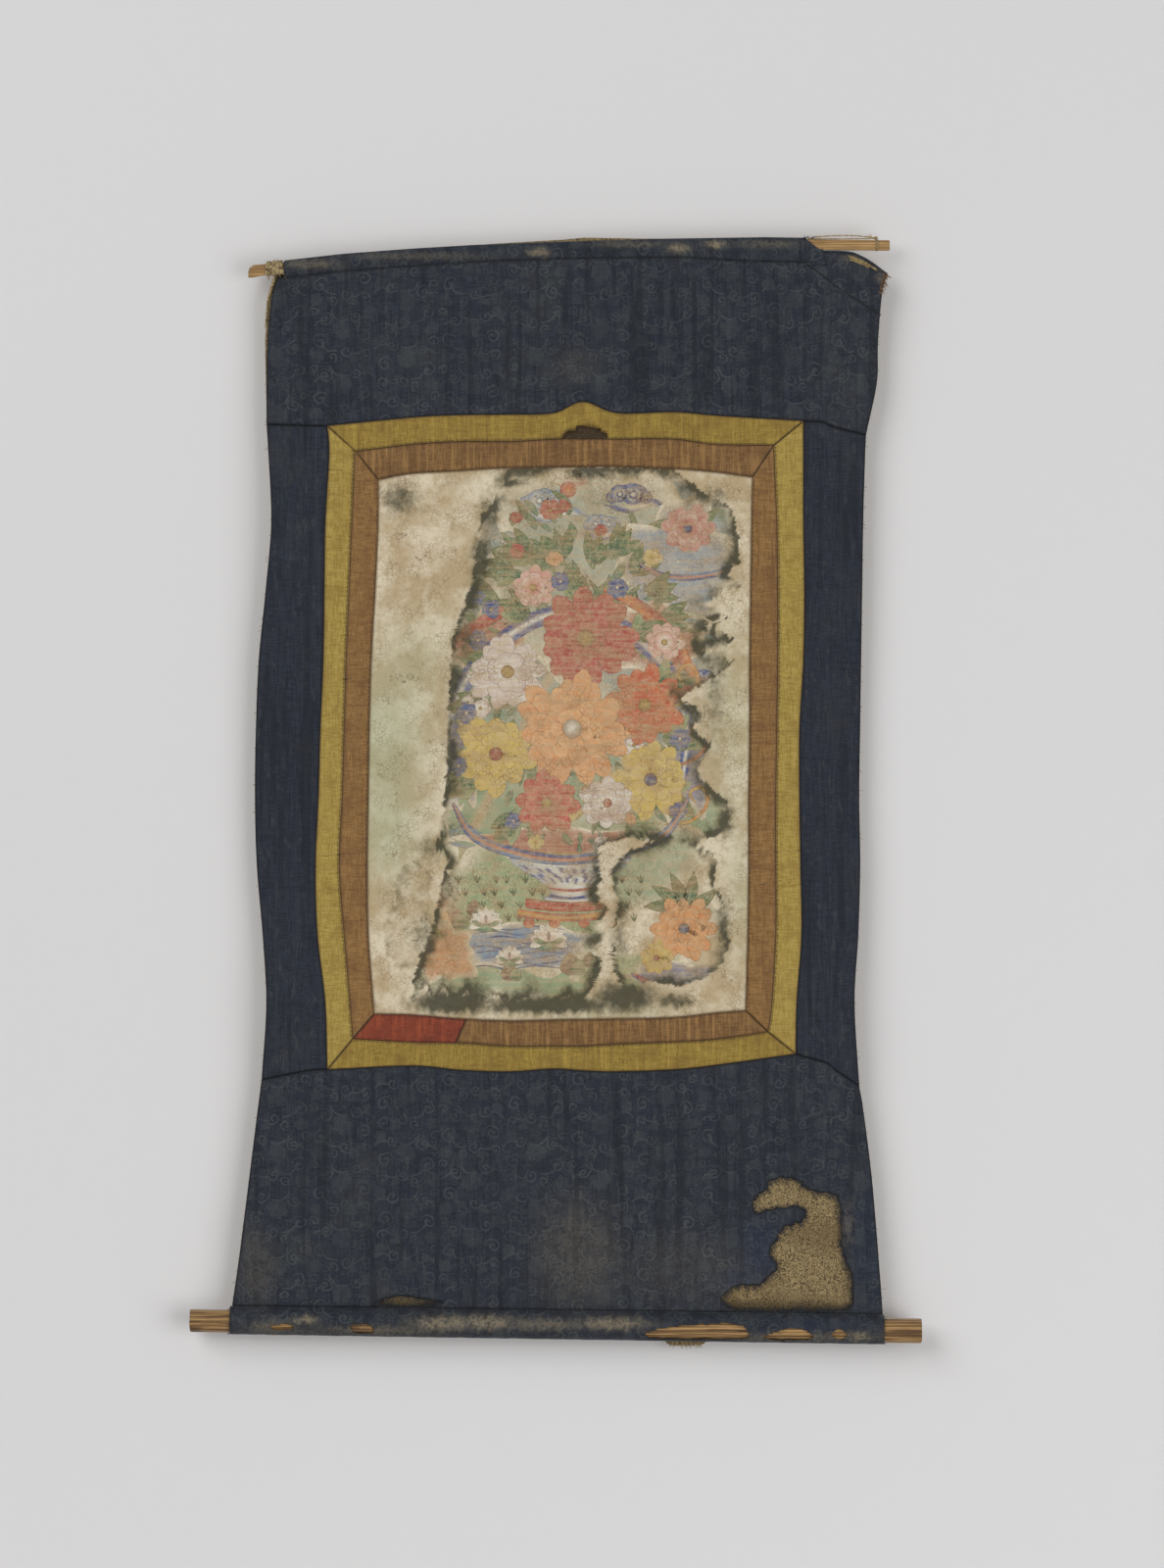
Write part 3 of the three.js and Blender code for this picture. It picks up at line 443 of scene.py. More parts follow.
CREASES = [
    # x and z of both ends, width, push towards the wall (a ridge where it is negative)
    (-191, -42, -191, -168, 2.2, 1.3), (-196, -50, -197, -150, 4, -0.7),
    (-191, -168, -190, -232, 1.8, 0.6), (-101, -60, -100, -150, 4, 0.5), (25, -40, 26, -110, 3.5, 0.9),
    (10, -31, 30, -33, 1.8, 0.8), (8, -116, 30, -117, 1.8, 0.7), (68, -30, 70, -165, 4, 0.9),
    (141, -30, 139, -150, 4.5, 0.6), (205, -60, 206, -165, 5, 0.5), (-150, -40, -152, -120, 6, 0.5),
    (-180, -33, -66, -31, 2, 0.7), (-60, -120, -30, -135, 5, 0.4), (-266, -245, -265, -278, 1.6, 0.9),
    (-287, -662, -278, -747, 1.8, 1), (-309, -872, -282, -860, 1.6, 1),
    (-322, -997, -305, -1012, 2.2, 1.8), (-305, -1012, -291, -1018, 1.8, 1.4),
    (-293, -1031, -297, -1044, 2, 1.6), (-297, -1044, -324, -1056, 2.2, 1.7),
    (-318, -1028, -300, -1030, 5, -1.2), (-308, -690, -292, -700, 3, 0.7),
    (-316, -430, -290, -425, 3, 0.5), (-246, -226, -220, -226, 1.2, 0.6),
    (-242, -349, -226, -355, 1.2, 0.6), (-252, -521, -238, -510, 1.2, 0.7),
    (-252, -764, -203, -768, 1.3, 0.8), (-218, -244, -195, -239, 1.2, 0.6),
    (-230, -440, -206, -437, 1.4, 0.4), (-252, -620, -207, -616, 1.6, 0.4),
    (213, -241, 239, -243, 1, 0.5), (190, -344, 212, -339, 1.2, 0.6), (214, -336, 241, -337, 1, 0.6),
    (213, -393, 240, -395, 1.2, 0.6), (225, -438, 240, -436, 1, 0.5), (242, -415, 275, -427, 1.4, 0.9),
    (275, -427, 298, -437, 1.4, 0.8), (184, -617, 239, -614, 1.4, 0.8), (239, -614, 262, -619, 1.4, 0.8),
    (194, -650, 211, -647, 1.2, 0.5), (214, -645, 239, -649, 1.2, 0.7), (239, -649, 258, -656, 1.2, 0.7),
    (189, -740, 238, -736, 1.4, 0.7), (184, -777, 205, -776, 1.2, 0.5), (252, -560, 296, -572, 2.5, 0.6),
    (244, -700, 290, -712, 3, 0.6), (208, -826, 234, -828, 1.2, 0.9), (234, -828, 250, -836, 1.2, 0.9),
    (56, -812, 56, -842, 1.4, 0.6), (-268, -927, -267, -992, 3, 0.7), (89, -926, 89, -1086, 2.2, 1.7),
    (96, -930, 97, -1080, 5, -0.9), (81, -950, 80, -1076, 4, -0.6), (57, -845, 58, -928, 2.6, 1.1),
    (0, -845, 0, -878, 3.4, 0.8), (-135, -846, -136, -902, 3, 0.8), (-195, -995, -198, -1060, 3.2, 0.9),
    (-60, -900, -58, -1010, 7, 0.7), (30, -890, 31, -1060, 8, 0.6), (150, -860, 152, -950, 6, 0.7),
    (-240, -860, -244, -980, 7, 0.6), (222, -850, 226, -930, 5, 0.6), (236, -13, 262, -29, 1.8, 1),
    (262, -29, 290, -50, 1.8, 1.4), (290, -50, 319, -68, 2, 1.2),
]
HELD = {"stave_from": -8, "stave_to": 40, "roller_from": 14, "roller_to": 60}


def smooth(value, low, high):
    share = np.clip((value - low) / (high - low), 0, 1)
    return share * share * (3 - 2 * share)


def from_segment(x, z, x0, z0, x1, z1):
    """Distance of points from a straight line between two ends, and their share along it."""
    dx, dz = x1 - x0, z1 - z0
    share = np.clip(((x - x0) * dx + (z - z0) * dz) / (dx * dx + dz * dz), 0, 1)
    return np.hypot(x - x0 - share * dx, z - z0 - share * dz), share


def fold_depth(x, z):
    """Soft folds: each is a bell in its own leaning axes. All die out at the stave and at the roller."""
    depth = np.zeros_like(x)
    for fold_x, fold_z, across, length, lean, push in SOFT_FOLDS:
        cos, sin = math.cos(math.radians(lean)), math.sin(math.radians(lean))
        dx, dz = x - fold_x, z - fold_z
        depth += push * np.exp(-((dx * cos + dz * sin) / across) ** 2 - ((dz * cos - dx * sin) / length) ** 2)
    top = smooth(along(CASING_SEAM, x) - z, HELD["stave_from"], HELD["stave_to"])
    bottom = smooth(z - roller_height(x), HELD["roller_from"], HELD["roller_to"])
    return depth * top * bottom


def crease_depth(x, z):
    """Creases: a bell across each line, fading out towards both of its ends."""
    depth = np.zeros_like(x)
    for x0, z0, x1, z1, width, push in CREASES:
        length = math.hypot(x1 - x0, z1 - z0)
        reach = length + 6 * width
        near = (np.abs(x - (x0 + x1) / 2) < reach) & (np.abs(z - (z0 + z1) / 2) < reach)
        if near.any():
            distance, share = from_segment(x[near], z[near], x0, z0, x1, z1)
            fade = smooth(share, -0.02, 0.25) * smooth(1 - share, -0.02, 0.25)
            depth[near] += 0.75 * push * np.exp(-(distance / width) ** 2) * (0.25 + 0.75 * fade)
    return depth


def pucker_depth(x, z):
    """Puckers across the narrow strips above, below and beside the picture, and faint waves all over."""
    upper = np.exp(-((z + 200) / 26) ** 2)
    lower = np.exp(-((z + 812) / 26) ** 2)
    sides = np.exp(-((np.abs(x - 8) - 218) / 20) ** 2) * smooth(z, -840, -780) * smooth(-z, 180, 230)
    inside = smooth(250 - np.abs(x), 0, 20)
    puckers = 0.42 * upper * inside * waves(x + 0.04 * z, (13, 19, 31), 11)
    puckers += 0.42 * lower * inside * waves(x - 0.05 * z, (12, 21, 33), 12)
    puckers += 0.26 * sides * waves(z + 0.1 * x, (23, 41, 15), 13)
    slow = 0.5 * waves(x + 0.25 * z, (97, 143, 61), 14) * waves(z - 0.2 * x, (171, 260), 15)
    top = smooth(along(CASING_SEAM, x) - z, 2, 30)
    bottom = smooth(z - roller_height(x), 16, 50)
    return (puckers + slow) * top * bottom


def hang(x, z):
    """Depth of the cloth's middle at (x, z): soft folds, creases and puckers added up."""
    return fold_depth(x, z) + crease_depth(x, z) + pucker_depth(x, z)


# The lining is one width of coarse brown cotton behind everything. It stands out above the silk in the
# middle, passes behind the stave and lies round the back of the roller, where a torn tongue hangs down.
SHEET = 0.55  # real thickness of the cloths
LINING_STEP = 2.2
LINING_END = -10
TONGUE = {"x": 120, "half_width": 20, "drop": 9.5}
BEHIND_STAVE = {"y": 5.7, "from": 9, "to": 26, "ends_from": 276, "ends_to": 292}
BEHIND_ROLLER = 3.2
LINING_LEFT_EDGE = [
    (-298, -26), (-306, -51.5), (-310, -91.5), (-309, -146.5), (-308, -179.5), (-306, -210), (-303, -280),
    (-309, -350), (-316, -420), (-319, -490), (-320, -560), (-318, -630), (-312, -700), (-308, -770),
    (-313, -848.5), (-317, -878.5), (-326, -950.5), (-335, -1022.5), (-343, -1078), (-345, -1120),
]
LINING_RIGHT_EDGE = [
    (326, -25.5), (320, -47.5), (316, -96.5), (315, -136.5), (304, -190), (303, -210), (301, -280),
    (300, -350), (299, -420), (298, -490), (297, -560), (298, -630), (296, -700), (292, -770),
    (297, -855.5), (301, -878.5), (310, -950.5), (318, -1046.5), (321, -1088), (322, -1125),
]
LINING_TOP = np.array([
    (-297, -16), (-230, -8), (-80, 5), (-4, 9.5), (16, 11.5), (73, 10.5), (120, 10.5),
    (200, 9), (240, 7), (262, -5), (289, -4.5), (326, -25.5),
])


def across_at(line, z):
    """x of an upright line of (x, z) points at height z."""
    rows = np.array(line, float)[::-1]
    return np.interp(z, rows[:, 1], rows[:, 0])


def lining_depth(x, z):
    """The cloth's hang one step further back, bulging behind the stave and round the back of the roller."""
    under = along(STAVE_LINE, np.minimum(x, BEHIND_STAVE["ends_from"])) - z
    near_stave = 1 - smooth(under, BEHIND_STAVE["from"], BEHIND_STAVE["to"])
    near_stave = near_stave * (1 - smooth(x, BEHIND_STAVE["ends_from"], BEHIND_STAVE["ends_to"]))
    panel = hang(x, z) + LINING_STEP + (BEHIND_STAVE["y"] - LINING_STEP) * near_stave
    reach = roller_radius(x) + BEHIND_ROLLER
    rise = z - roller_height(x)
    touch, leaves = reach / 2, 2 * reach
    on_roller = np.sqrt(reach ** 2 - np.maximum(np.minimum(rise, touch), LINING_END) ** 2)
    slope = np.clip((np.minimum(rise, leaves) - touch) / (leaves - touch), 0, 1)
    slanted = np.sqrt(reach ** 2 - touch ** 2) * (1 - slope)
    return np.maximum(panel, np.where(rise < touch, on_roller, slanted))


def cloth(name, points, faces, material):
    """A sheet of cloth from one layer of points; Solidify gives it its thickness, half to each side."""
    piece = add_piece(name, points, faces, material)
    body = piece.modifiers.new("thickness", "SOLIDIFY")
    body.thickness = SHEET * MM
    body.offset = 0
    body.use_rim = True
    return piece


def woven_cotton():
    cotton = Finish("lining_cotton", 0.92, sheen=0.15)
    warp = cotton.noise(0.85, 2, stretch=(1, 1, 2.2), rough=0.7)
    weft = cotton.noise(0.85, 2, stretch=(2.2, 1, 1), rough=0.7)
    weave = cotton.maths("ADD", warp, weft)
    slubs = cotton.noise(1.6, 3, stretch=(1, 1, 22), rough=0.6)
    tone = cotton.noise(60, 4, rough=0.6)
    base = cotton.mix(cotton.step(weave, 0.84, 1.14), (56, 44, 26), (158, 138, 98))
    base = cotton.over(base, slubs, 0.52, 0.68, 0.45, (150, 130, 92))
    base = cotton.over(base, tone, 0.44, 0.62, 0.5, (88, 70, 42))
    # Painted shade: the lining is darkened where it lies deep behind the crescent gap and along the edges of
    # the tears
    base = cotton.mix(cotton.attribute("shade_and_grime"), base, (52, 38, 24))
    return cotton.finish(base, weave, 0.6)


COTTON = woven_cotton()
# Painted shade on the lining: behind the crescent gap in the gold strip, and along the tears where the lining
# shows through
LINING_SHADE_PATCHES = [
    # x, z, half width, half height, how dark
    (17, -188, 30, 13, 0.9), (-200, -1076, 40, 7, 0.35), (215, -1080, 70, 8, 0.45), (290, -1040, 9, 40, 0.4),
]


def give(piece, name, values):
    """Puts one number for each point of a piece into a named attribute that its material reads."""
    made = piece.data.attributes.new(name, "FLOAT", "POINT")
    made.data.foreach_set("value", np.ascontiguousarray(values, np.float32).ravel())


def patches(x, z, marks, torn=1):
    """Strongest of several bells with uneven outlines, each by its middle, half sizes and strength."""
    across = x + 3 * torn * waves(z + 0.6 * x, (7, 11, 19), 91)
    upward = z + 2 * torn * waves(x - 0.5 * z, (6, 10, 17), 92)
    found = np.zeros_like(x)
    for x0, z0, half_x, half_z, strength in marks:
        bell = np.exp(-((across - x0) / half_x) ** 2 - ((upward - z0) / half_z) ** 2)
        found = np.maximum(found, strength * np.clip(1.6 * bell, 0, 1))
    return found


def make_lining():
    """Rows follow the roller below and the stave above; each row runs from the left to the right edge."""
    share = even(140)

    def row(height):
        x = np.interp(share, (0, 1), (-320, 300))
        for _ in range(4):
            z = height(x)
            left = across_at(LINING_LEFT_EDGE, z) + 0.4
            right = across_at(LINING_RIGHT_EDGE, z) - 0.4
            x = left + (right - left) * share
        return x, height(x)

    def end(x):
        torn = 1.2 * waves(x, (7, 11, 29, 4.3), 21)
        tongue = smooth(TONGUE["half_width"] + 2 - np.abs(x - TONGUE["x"]), 0, 4) * TONGUE["drop"]
        return roller_height(x) + LINING_END - tongue + torn * 0.6

    def over_roller(x):
        return roller_height(x) + 2 * (roller_radius(x) + BEHIND_ROLLER)

    def top(x):
        return along(LINING_TOP, x)

    def under_stave(x):
        return np.minimum(along(STAVE_LINE, x) - BEHIND_STAVE["from"], top(x) - 3.6)

    def clear(x):
        return under_stave(x) - (BEHIND_STAVE["to"] - BEHIND_STAVE["from"])

    def between_rows(low, high, count):
        return [lambda x, s=s: low(x) * (1 - s) + high(x) * s
                for s in np.linspace(0, 1, count, endpoint=False)]

    heights = between_rows(end, over_roller, 16)
    heights += between_rows(over_roller, clear, 170)
    heights += between_rows(clear, under_stave, 6)
    heights += between_rows(under_stave, top, 6)
    heights.append(top)
    rows = [row(height) for height in heights]
    x = np.array([r[0] for r in rows])
    z = np.array([r[1] for r in rows])
    points = upright(x, z, lining_depth(x, z))
    piece = cloth("lining_cloth", points.reshape(-1, 3), quads(*x.shape), COTTON)
    # Painted shade behind the crescent gap and along the tears
    give(piece, "shade_and_grime", patches(x, z, LINING_SHADE_PATCHES))
    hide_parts("lining")
    return piece


lining = make_lining()


# The top panel is dark blue damask silk. Its upper edge is turned over the stave and sewn down as a
# casing, rubbed along the top; at the right it has slipped off the stave and hangs free in a fold.
def through(points, count):
    """Smooth curve through the points, cut into points an equal length apart."""
    p = np.asarray(points, float)
    ends = np.vstack([2 * p[0] - p[1], p, 2 * p[-1] - p[-2]])
    t = np.linspace(0, 1, 24, endpoint=False)[None, :, None]
    a, b, c, d = ends[:-3, None], ends[1:-2, None], ends[2:-1, None], ends[3:, None]
    curve = 0.5 * (2 * b + (c - a) * t + (2 * a - 5 * b + 4 * c - d) * t ** 2
                   + (3 * b - a - 3 * c + d) * t ** 3)
    curve = np.vstack([curve.reshape(-1, 2), p[-1:]])
    run = np.concatenate([[0], np.cumsum(np.hypot(*np.diff(curve, axis=0).T))])
    at = np.linspace(0, run[-1], count)
    return np.column_stack([np.interp(at, run, curve[:, 0]), np.interp(at, run, curve[:, 1])])


def patch(bottom, right, top, left):
    """Flat cloth ruled between four edges: both ruled sheets added, less the sheet of the corners."""
    u = even(len(bottom))[None, :, None]
    v = even(len(left))[:, None, None]
    ruled = (1 - v) * bottom[None] + v * top[None] + (1 - u) * left[:, None] + u * right[:, None]
    corners = (1 - v) * ((1 - u) * bottom[0] + u * bottom[-1]) + v * ((1 - u) * top[0] + u * top[-1])
    return ruled - corners


LEVELS = [
    # z, then x of the left edge, the gold, the brown, and the same from the right inwards
    (-210, -306, -244, -218, 210, 240, 303), (-280, -303, -248, -221, 213, 240, 301),
    (-350, -309, -249, -224, 214, 241, 300), (-420, -316, -250, -227, 214, 240, 299),
    (-490, -319, -253, -229, 213, 236, 298), (-560, -320, -255, -231, 212, 236, 297),
    (-630, -318, -258, -234, 212, 237, 298), (-700, -312, -256, -229, 212, 238, 296),
    (-770, -308, -248, -223, 208, 233, 292),
]
PICTURE_LEVELS = [
    (-280, -194, 187), (-350, -197, 186), (-420, -201, 185), (-490, -203, 185), (-560, -204, 184),
    (-630, -205, 184), (-700, -204, 183),
]
STATIONS = [
    # x, then z of the gold, brown and picture lines above, and the same below
    (-160, -172.5, -200, -230, -782, -810, -834), (-110, -170, -197, -227, -786, -811, -838.5),
    (-60, -169.5, -197, -224, -788, -814, -840), (-15, -168, -194.5, -223.5, -787, -814, -837),
    (15, -156.5, -194.5, -223, -786.5, -814, -839), (50, -168, -194.5, -223, -786, -812, -840),
    (108, -167, -194.5, -225, -784.5, -809.5, -838), (150, -170.5, -200, -228.5, -780, -807, -833.5),
]
GOLD_CORNERS = {"tl": (-246, -181), "tr": (240, -176), "br": (232, -822), "bl": (-246, -838)}
BROWN_CORNERS = {"tl": (-218, -207), "tr": (210, -200.5), "br": (204, -799.5), "bl": (-220, -806.5)}
PICTURE_CORNERS = {"tl": (-194, -236), "tr": (188, -233.5), "br": (181, -777.5), "bl": (-198, -781)}
SHOULDERS = {
    "top_left": [(-308, -179.5)],
    "top_right": [(260, -177), (268, -181), (287, -186), (304, -190)],
    "bottom_left": [(-313, -848.5), (-283, -842.5), (-260, -838.5)],
    "bottom_right": [(246, -826.5), (264, -831.5), (274, -839.5), (292, -851.5), (297, -855.5)],
}
TOP_LEFT_EDGE = [(-308, -179.5), (-308, -146.5), (-307, -91.5), (-303, -51.5), (-297, -30)]
TOP_RIGHT_EDGE = [(304, -190), (315, -136.5), (316, -96.5), (320, -47.5), (326, -25.5)]
SLIPPED_EDGE = [(258, -4), (289, -4), (308, -13), (326, -25.5)]
ACROSS = 190  # cells along the width of the picture
DOWN = 250    # cells along its height
STRIP = 10    # cells across a narrow strip
SIDE = 26     # cells across a side panel


def frame_lines(corners, above, below, left, right, levels):
    """The four sides of one frame round the picture, from its corners and its columns in the tables."""
    stations = np.array(STATIONS, float)
    uprights = np.array(levels, float)[::-1]
    tl, tr, br, bl = (corners[key] for key in ("tl", "tr", "br", "bl"))
    top = through([tl, *stations[:, [0, above]], tr], ACROSS + 1)
    bottom = through([bl, *stations[:, [0, below]], br], ACROSS + 1)
    left_side = through([bl, *uprights[:, [left, 0]], tl], DOWN + 1)
    right_side = through([br, *uprights[:, [right, 0]], tr], DOWN + 1)
    return {"top": top, "bottom": bottom, "left": left_side, "right": right_side}


GOLD = frame_lines(GOLD_CORNERS, 1, 6, 2, 5, LEVELS)
BROWN = frame_lines(BROWN_CORNERS, 2, 5, 3, 4, LEVELS)
PICTURE = frame_lines(PICTURE_CORNERS, 3, 4, 1, 2, PICTURE_LEVELS)
SIDES = {
    "top_left": through([*SHOULDERS["top_left"], GOLD_CORNERS["tl"]], SIDE + 1),
    "top_right": through([GOLD_CORNERS["tr"], *SHOULDERS["top_right"]], SIDE + 1),
    "bottom_left": through([*SHOULDERS["bottom_left"], GOLD_CORNERS["bl"]], SIDE + 1),
    "bottom_right": through([GOLD_CORNERS["br"], *SHOULDERS["bottom_right"]], SIDE + 1),
}


REPEAT = (66, 58)  # width and height of the woven scroll, every second one half a step lower
SCROLL_LINE = 0.8  # half the width of its lines
CURLS = [
    # x and z from the middle of the repeat, radius, pitch of the spiral, hand and turn it starts at
    (-17, 14, 7, 4.9, 1, 0.2), (15, 18, 6, 4.6, -1, 0.6), (22, -3, 7.4, 5.2, 1, 0.4),
    (-22, -8, 7.6, 5.4, -1, 0.9), (4, -18, 6.6, 4.8, 1, 0.1), (-9, -24, 5, 4.2, -1, 0.5),
    (24, -21, 5.6, 4.4, -1, 0.3), (-28, 22, 5, 4, 1, 0.7),
]
TAILS = [
    # x and z of the middle, radius, middle direction and half reach in radians
    (-8, -5, 12.5, -2.2, 0.8), (13, -10, 10.5, -1.3, 0.7), (0, 26, 12, -2, 0.9),
    (24, 9, 9, 1.2, 0.8), (-20, 4, 9, 1.9, 0.7),
]
CLUSTERS = [
    # x and z of the middle, radius, number of petals
    (0, 5, 9.5, 7), (-26, -24, 6.5, 5), (27, 22, 6, 5), (12, -27, 5, 4),
]
HATCHING = 2.1  # step of the crossed lines that fill the blossoms


def woven_scroll(silk):
    """Charted repeat of a curling cloud scroll round a blossom: 1 on its lines and 0 beside them."""
    parts = silk.node("ShaderNodeSeparateXYZ")
    silk.feed(parts.inputs[0], silk.place)
    drift = silk.times_plus(silk.noise(17, 2), 9, -4.5)
    sway = silk.times_plus(silk.noise(23, 2, turn=40), 9, -4.5)
    x = silk.times_plus(parts.outputs["X"], 1 / MM, drift)
    z = silk.times_plus(parts.outputs["Z"], 1 / MM, sway)
    column = silk.maths("DIVIDE", x, REPEAT[0])
    odd = silk.maths("PINGPONG", silk.maths("FLOOR", column), 1)
    across = silk.maths("FRACT", column)
    mirrored = silk.maths("SUBTRACT", 1, across)
    across = silk.maths("ADD", silk.times(across, silk.maths("SUBTRACT", 1, odd)),
                        silk.times(mirrored, odd))
    across = silk.times_plus(across, REPEAT[0], -REPEAT[0] / 2)
    upward = silk.maths("FRACT", silk.maths("ADD", silk.maths("DIVIDE", z, REPEAT[1]), silk.times(odd, 0.5)))
    upward = silk.times_plus(upward, REPEAT[1], -REPEAT[1] / 2)

    def polar(x0, z0):
        dx = silk.maths("SUBTRACT", across, x0)
        dz = silk.maths("SUBTRACT", upward, z0)
        square = silk.times_plus(dx, dx, silk.times(dz, dz))
        return silk.maths("SQRT", square), silk.maths("ARCTAN2", dz, dx)

    def lines_at(level, pitch, radius, distance):
        off = silk.maths("ABSOLUTE", silk.maths("SUBTRACT", silk.maths("FRACT", level), 0.5))
        share = SCROLL_LINE / pitch
        line = silk.step(off, share * 0.6, share * 1.5, 1, 0)
        return silk.times(line, silk.step(distance, radius, radius + 0.7, 1, 0))

    masks = []
    for x0, z0, radius, pitch, hand, start in CURLS:
        distance, angle = polar(x0, z0)
        turned = silk.times_plus(angle, -hand / (2 * math.pi), start)
        masks.append(lines_at(silk.times_plus(distance, 1 / pitch, turned), pitch, radius, distance))
    for x0, z0, radius, middle, reach in TAILS:
        distance, angle = polar(x0, z0)
        off = silk.maths("ABSOLUTE", silk.maths("SUBTRACT", distance, radius))
        line = silk.step(off, SCROLL_LINE * 0.6, SCROLL_LINE * 1.6, 1, 0)
        aside = silk.maths("ABSOLUTE", silk.maths("SUBTRACT", angle, middle))
        masks.append(silk.times(line, silk.step(aside, reach, reach + 0.1, 1, 0)))
    rate = 2 * math.pi / HATCHING
    hatch = silk.times(silk.maths("SINE", silk.times(x, rate)),
                       silk.maths("SINE", silk.times(z, rate)))
    hatch = silk.step(hatch, -0.3, 0.4, 0.1, 1)
    for x0, z0, radius, petals in CLUSTERS:
        distance, angle = polar(x0, z0)
        ruffle = silk.maths("ABSOLUTE", silk.maths("COSINE", silk.times(angle, petals / 2)))
        scalloped = silk.times(distance, silk.times_plus(ruffle, -0.24, 1.16))
        inside = silk.step(scalloped, radius - 0.6, radius + 0.6, 1, 0)
        masks.append(silk.times(inside, hatch))
    total = masks[0]
    for mask in masks[1:]:
        total = silk.maths("MAXIMUM", total, mask)
    return total


def dark_silk(name, damask, faded):
    """Dark blue silk with a fine upright rib, faded streaks, pale specks, painted shade and grime along its
    seams, and on two panels a woven scroll.
    """
    silk = Finish(name, 0.68, sheen=0.08)
    silk.shader.inputs["Specular IOR Level"].default_value = 0.22
    rib = silk.noise(0.9, 2, stretch=(1, 1, 30), rough=0.6)
    weft = silk.noise(0.8, 2, stretch=(12, 1, 1), rough=0.6)
    streak = silk.noise(5, 4, stretch=(1, 1, 40), rough=0.7)
    band = silk.noise(7, 3, stretch=(30, 1, 1), rough=0.6)
    cloud = silk.noise(80, 5, rough=0.65)
    old_fold = silk.noise(13, 2, stretch=(1, 1, 16), rough=0.5)
    threads = silk.times_plus(rib, 0.5, silk.times(weft, 0.5))
    base = silk.mix(silk.step(threads, 0.36, 0.64), (19, 24, 34), (42, 47, 58))
    base = silk.over(base, streak, 0.5, 0.7, 0.5, (47, 52, 58))
    base = silk.over(base, band, 0.52, 0.7, 0.4, (24, 29, 40))
    base = silk.over(base, cloud, 0.5, 0.72, faded, (60, 60, 58))
    height = threads
    if damask:
        scroll = woven_scroll(silk)
        broken = silk.step(silk.noise(0.9, 2), 0.3, 0.6, 0.3, 1)
        faint = silk.step(silk.noise(45, 3), 0.35, 0.62, 0.45, 1)
        shown = silk.times(silk.times(scroll, broken), faint)
        base = silk.mix(silk.times(shown, 0.52), base, (78, 83, 82))
        flecks = silk.step(silk.noise(1.7, 3, rough=0.8), 0.5, 0.64, 0, 0.55)
        gathered = silk.step(silk.noise(15, 3, turn=70), 0.44, 0.6)
        base = silk.mix(silk.times(flecks, gathered), base, (72, 77, 74))
        height = silk.times_plus(scroll, 0.35, threads)
    rubbed = silk.noise(6, 4, stretch=(1, 1, 3), rough=0.75)
    base = silk.over(base, rubbed, 0.54, 0.7, 0.5, (66, 69, 68))
    base = silk.over(base, old_fold, 0.52, 0.66, 0.55, (19, 23, 31))
    specks = silk.step(silk.noise(2.4, 2, rough=0.7), 0.74, 0.79, 0, 0.5)
    base = silk.mix(specks, base, (112, 106, 96))
    unfaded = silk.mix(silk.step(threads, 0.36, 0.64), (20, 28, 47), (44, 55, 80))
    base = silk.mix(silk.attribute("fresh"), base, unfaded)
    # Painted shade and grime along the seams, the casing creases and the torn edges, darkened nearly to black
    silk_edge_shade = silk.step(silk.attribute("edge_shade_and_grime"), 0.15, 1, 0, 0.8)
    base = silk.mix(silk_edge_shade, base, (17, 18, 22))
    uneven = silk.step(silk.noise(3, 4, rough=0.7), 0.34, 0.6, 0.25, 1)
    worn = silk.times(silk.attribute("wear"), uneven)
    base = silk.mix(worn, base, (128, 117, 96))
    return silk.finish(base, height, 0.18)


DAMASK = dark_silk("damask_silk", True, 0.35)
PLAIN_SILK = dark_silk("plain_silk", False, 0.25)


def from_border(grid):
    """Distance of each grid point from the nearest side of its piece, along the grid's own lines."""
    rows = np.hypot(*np.moveaxis(np.diff(grid, axis=1), -1, 0))
    columns = np.hypot(*np.moveaxis(np.diff(grid, axis=0), -1, 0))
    left = np.pad(np.cumsum(rows, 1), ((0, 0), (1, 0)))
    low = np.pad(np.cumsum(columns, 0), ((1, 0), (0, 0)))
    return np.minimum(np.minimum(left, left[:, -1:] - left), np.minimum(low, low[-1:] - low))


TURNED = {"depth": 0.5, "width": 1.3, "shade_and_grime": 2.2}  # how a sewn edge sinks into its seam, and how far the painted shade and grime along it reach


def flat_piece(name, node, grid, material):
    """A flat piece of cloth on the hang, in place of the CAD part of the given node, which is hidden."""
    x, z = grid[..., 0], grid[..., 1]
    border = from_border(grid)
    y = hang(x, z) + TURNED["depth"] * np.exp(-(border / TURNED["width"]) ** 2)
    piece = cloth(name, upright(x, z, y).reshape(-1, 3), quads(*x.shape), material)
    # Painted shade and grime along the piece's edges, where it meets its neighbours at the seams
    give(piece, "edge_shade_and_grime", np.exp(-border / TURNED["shade_and_grime"]))
    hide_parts(node)
    return piece


TOP_RUBS = [
    # x, z, half width, half height, how worn
    (-30, -4, 9, 3.5, 0.85), (112, 0, 9, 3.5, 0.8), (152, 4, 9, 3, 0.85), (-150, -8, 60, 3, 0.25),
    (60, 4, 30, 3, 0.3), (205, 4, 26, 3, 0.35), (-262, -16, 22, 4, 0.4), (322, -30, 6, 6, 0.3),
    (300, -10, 20, 3, 0.3), (8, -120, 22, 16, 0.1),
]
TOP_CASING = {"from": -290, "to": 243}
FLAP = {"x": 237, "from": -17, "to": 8.4, "y": -4.4}
FLAP_EDGE = [(242.6, 8.4), (249, 3.4), (257, -1.8), (261, -6), (264, -17)]


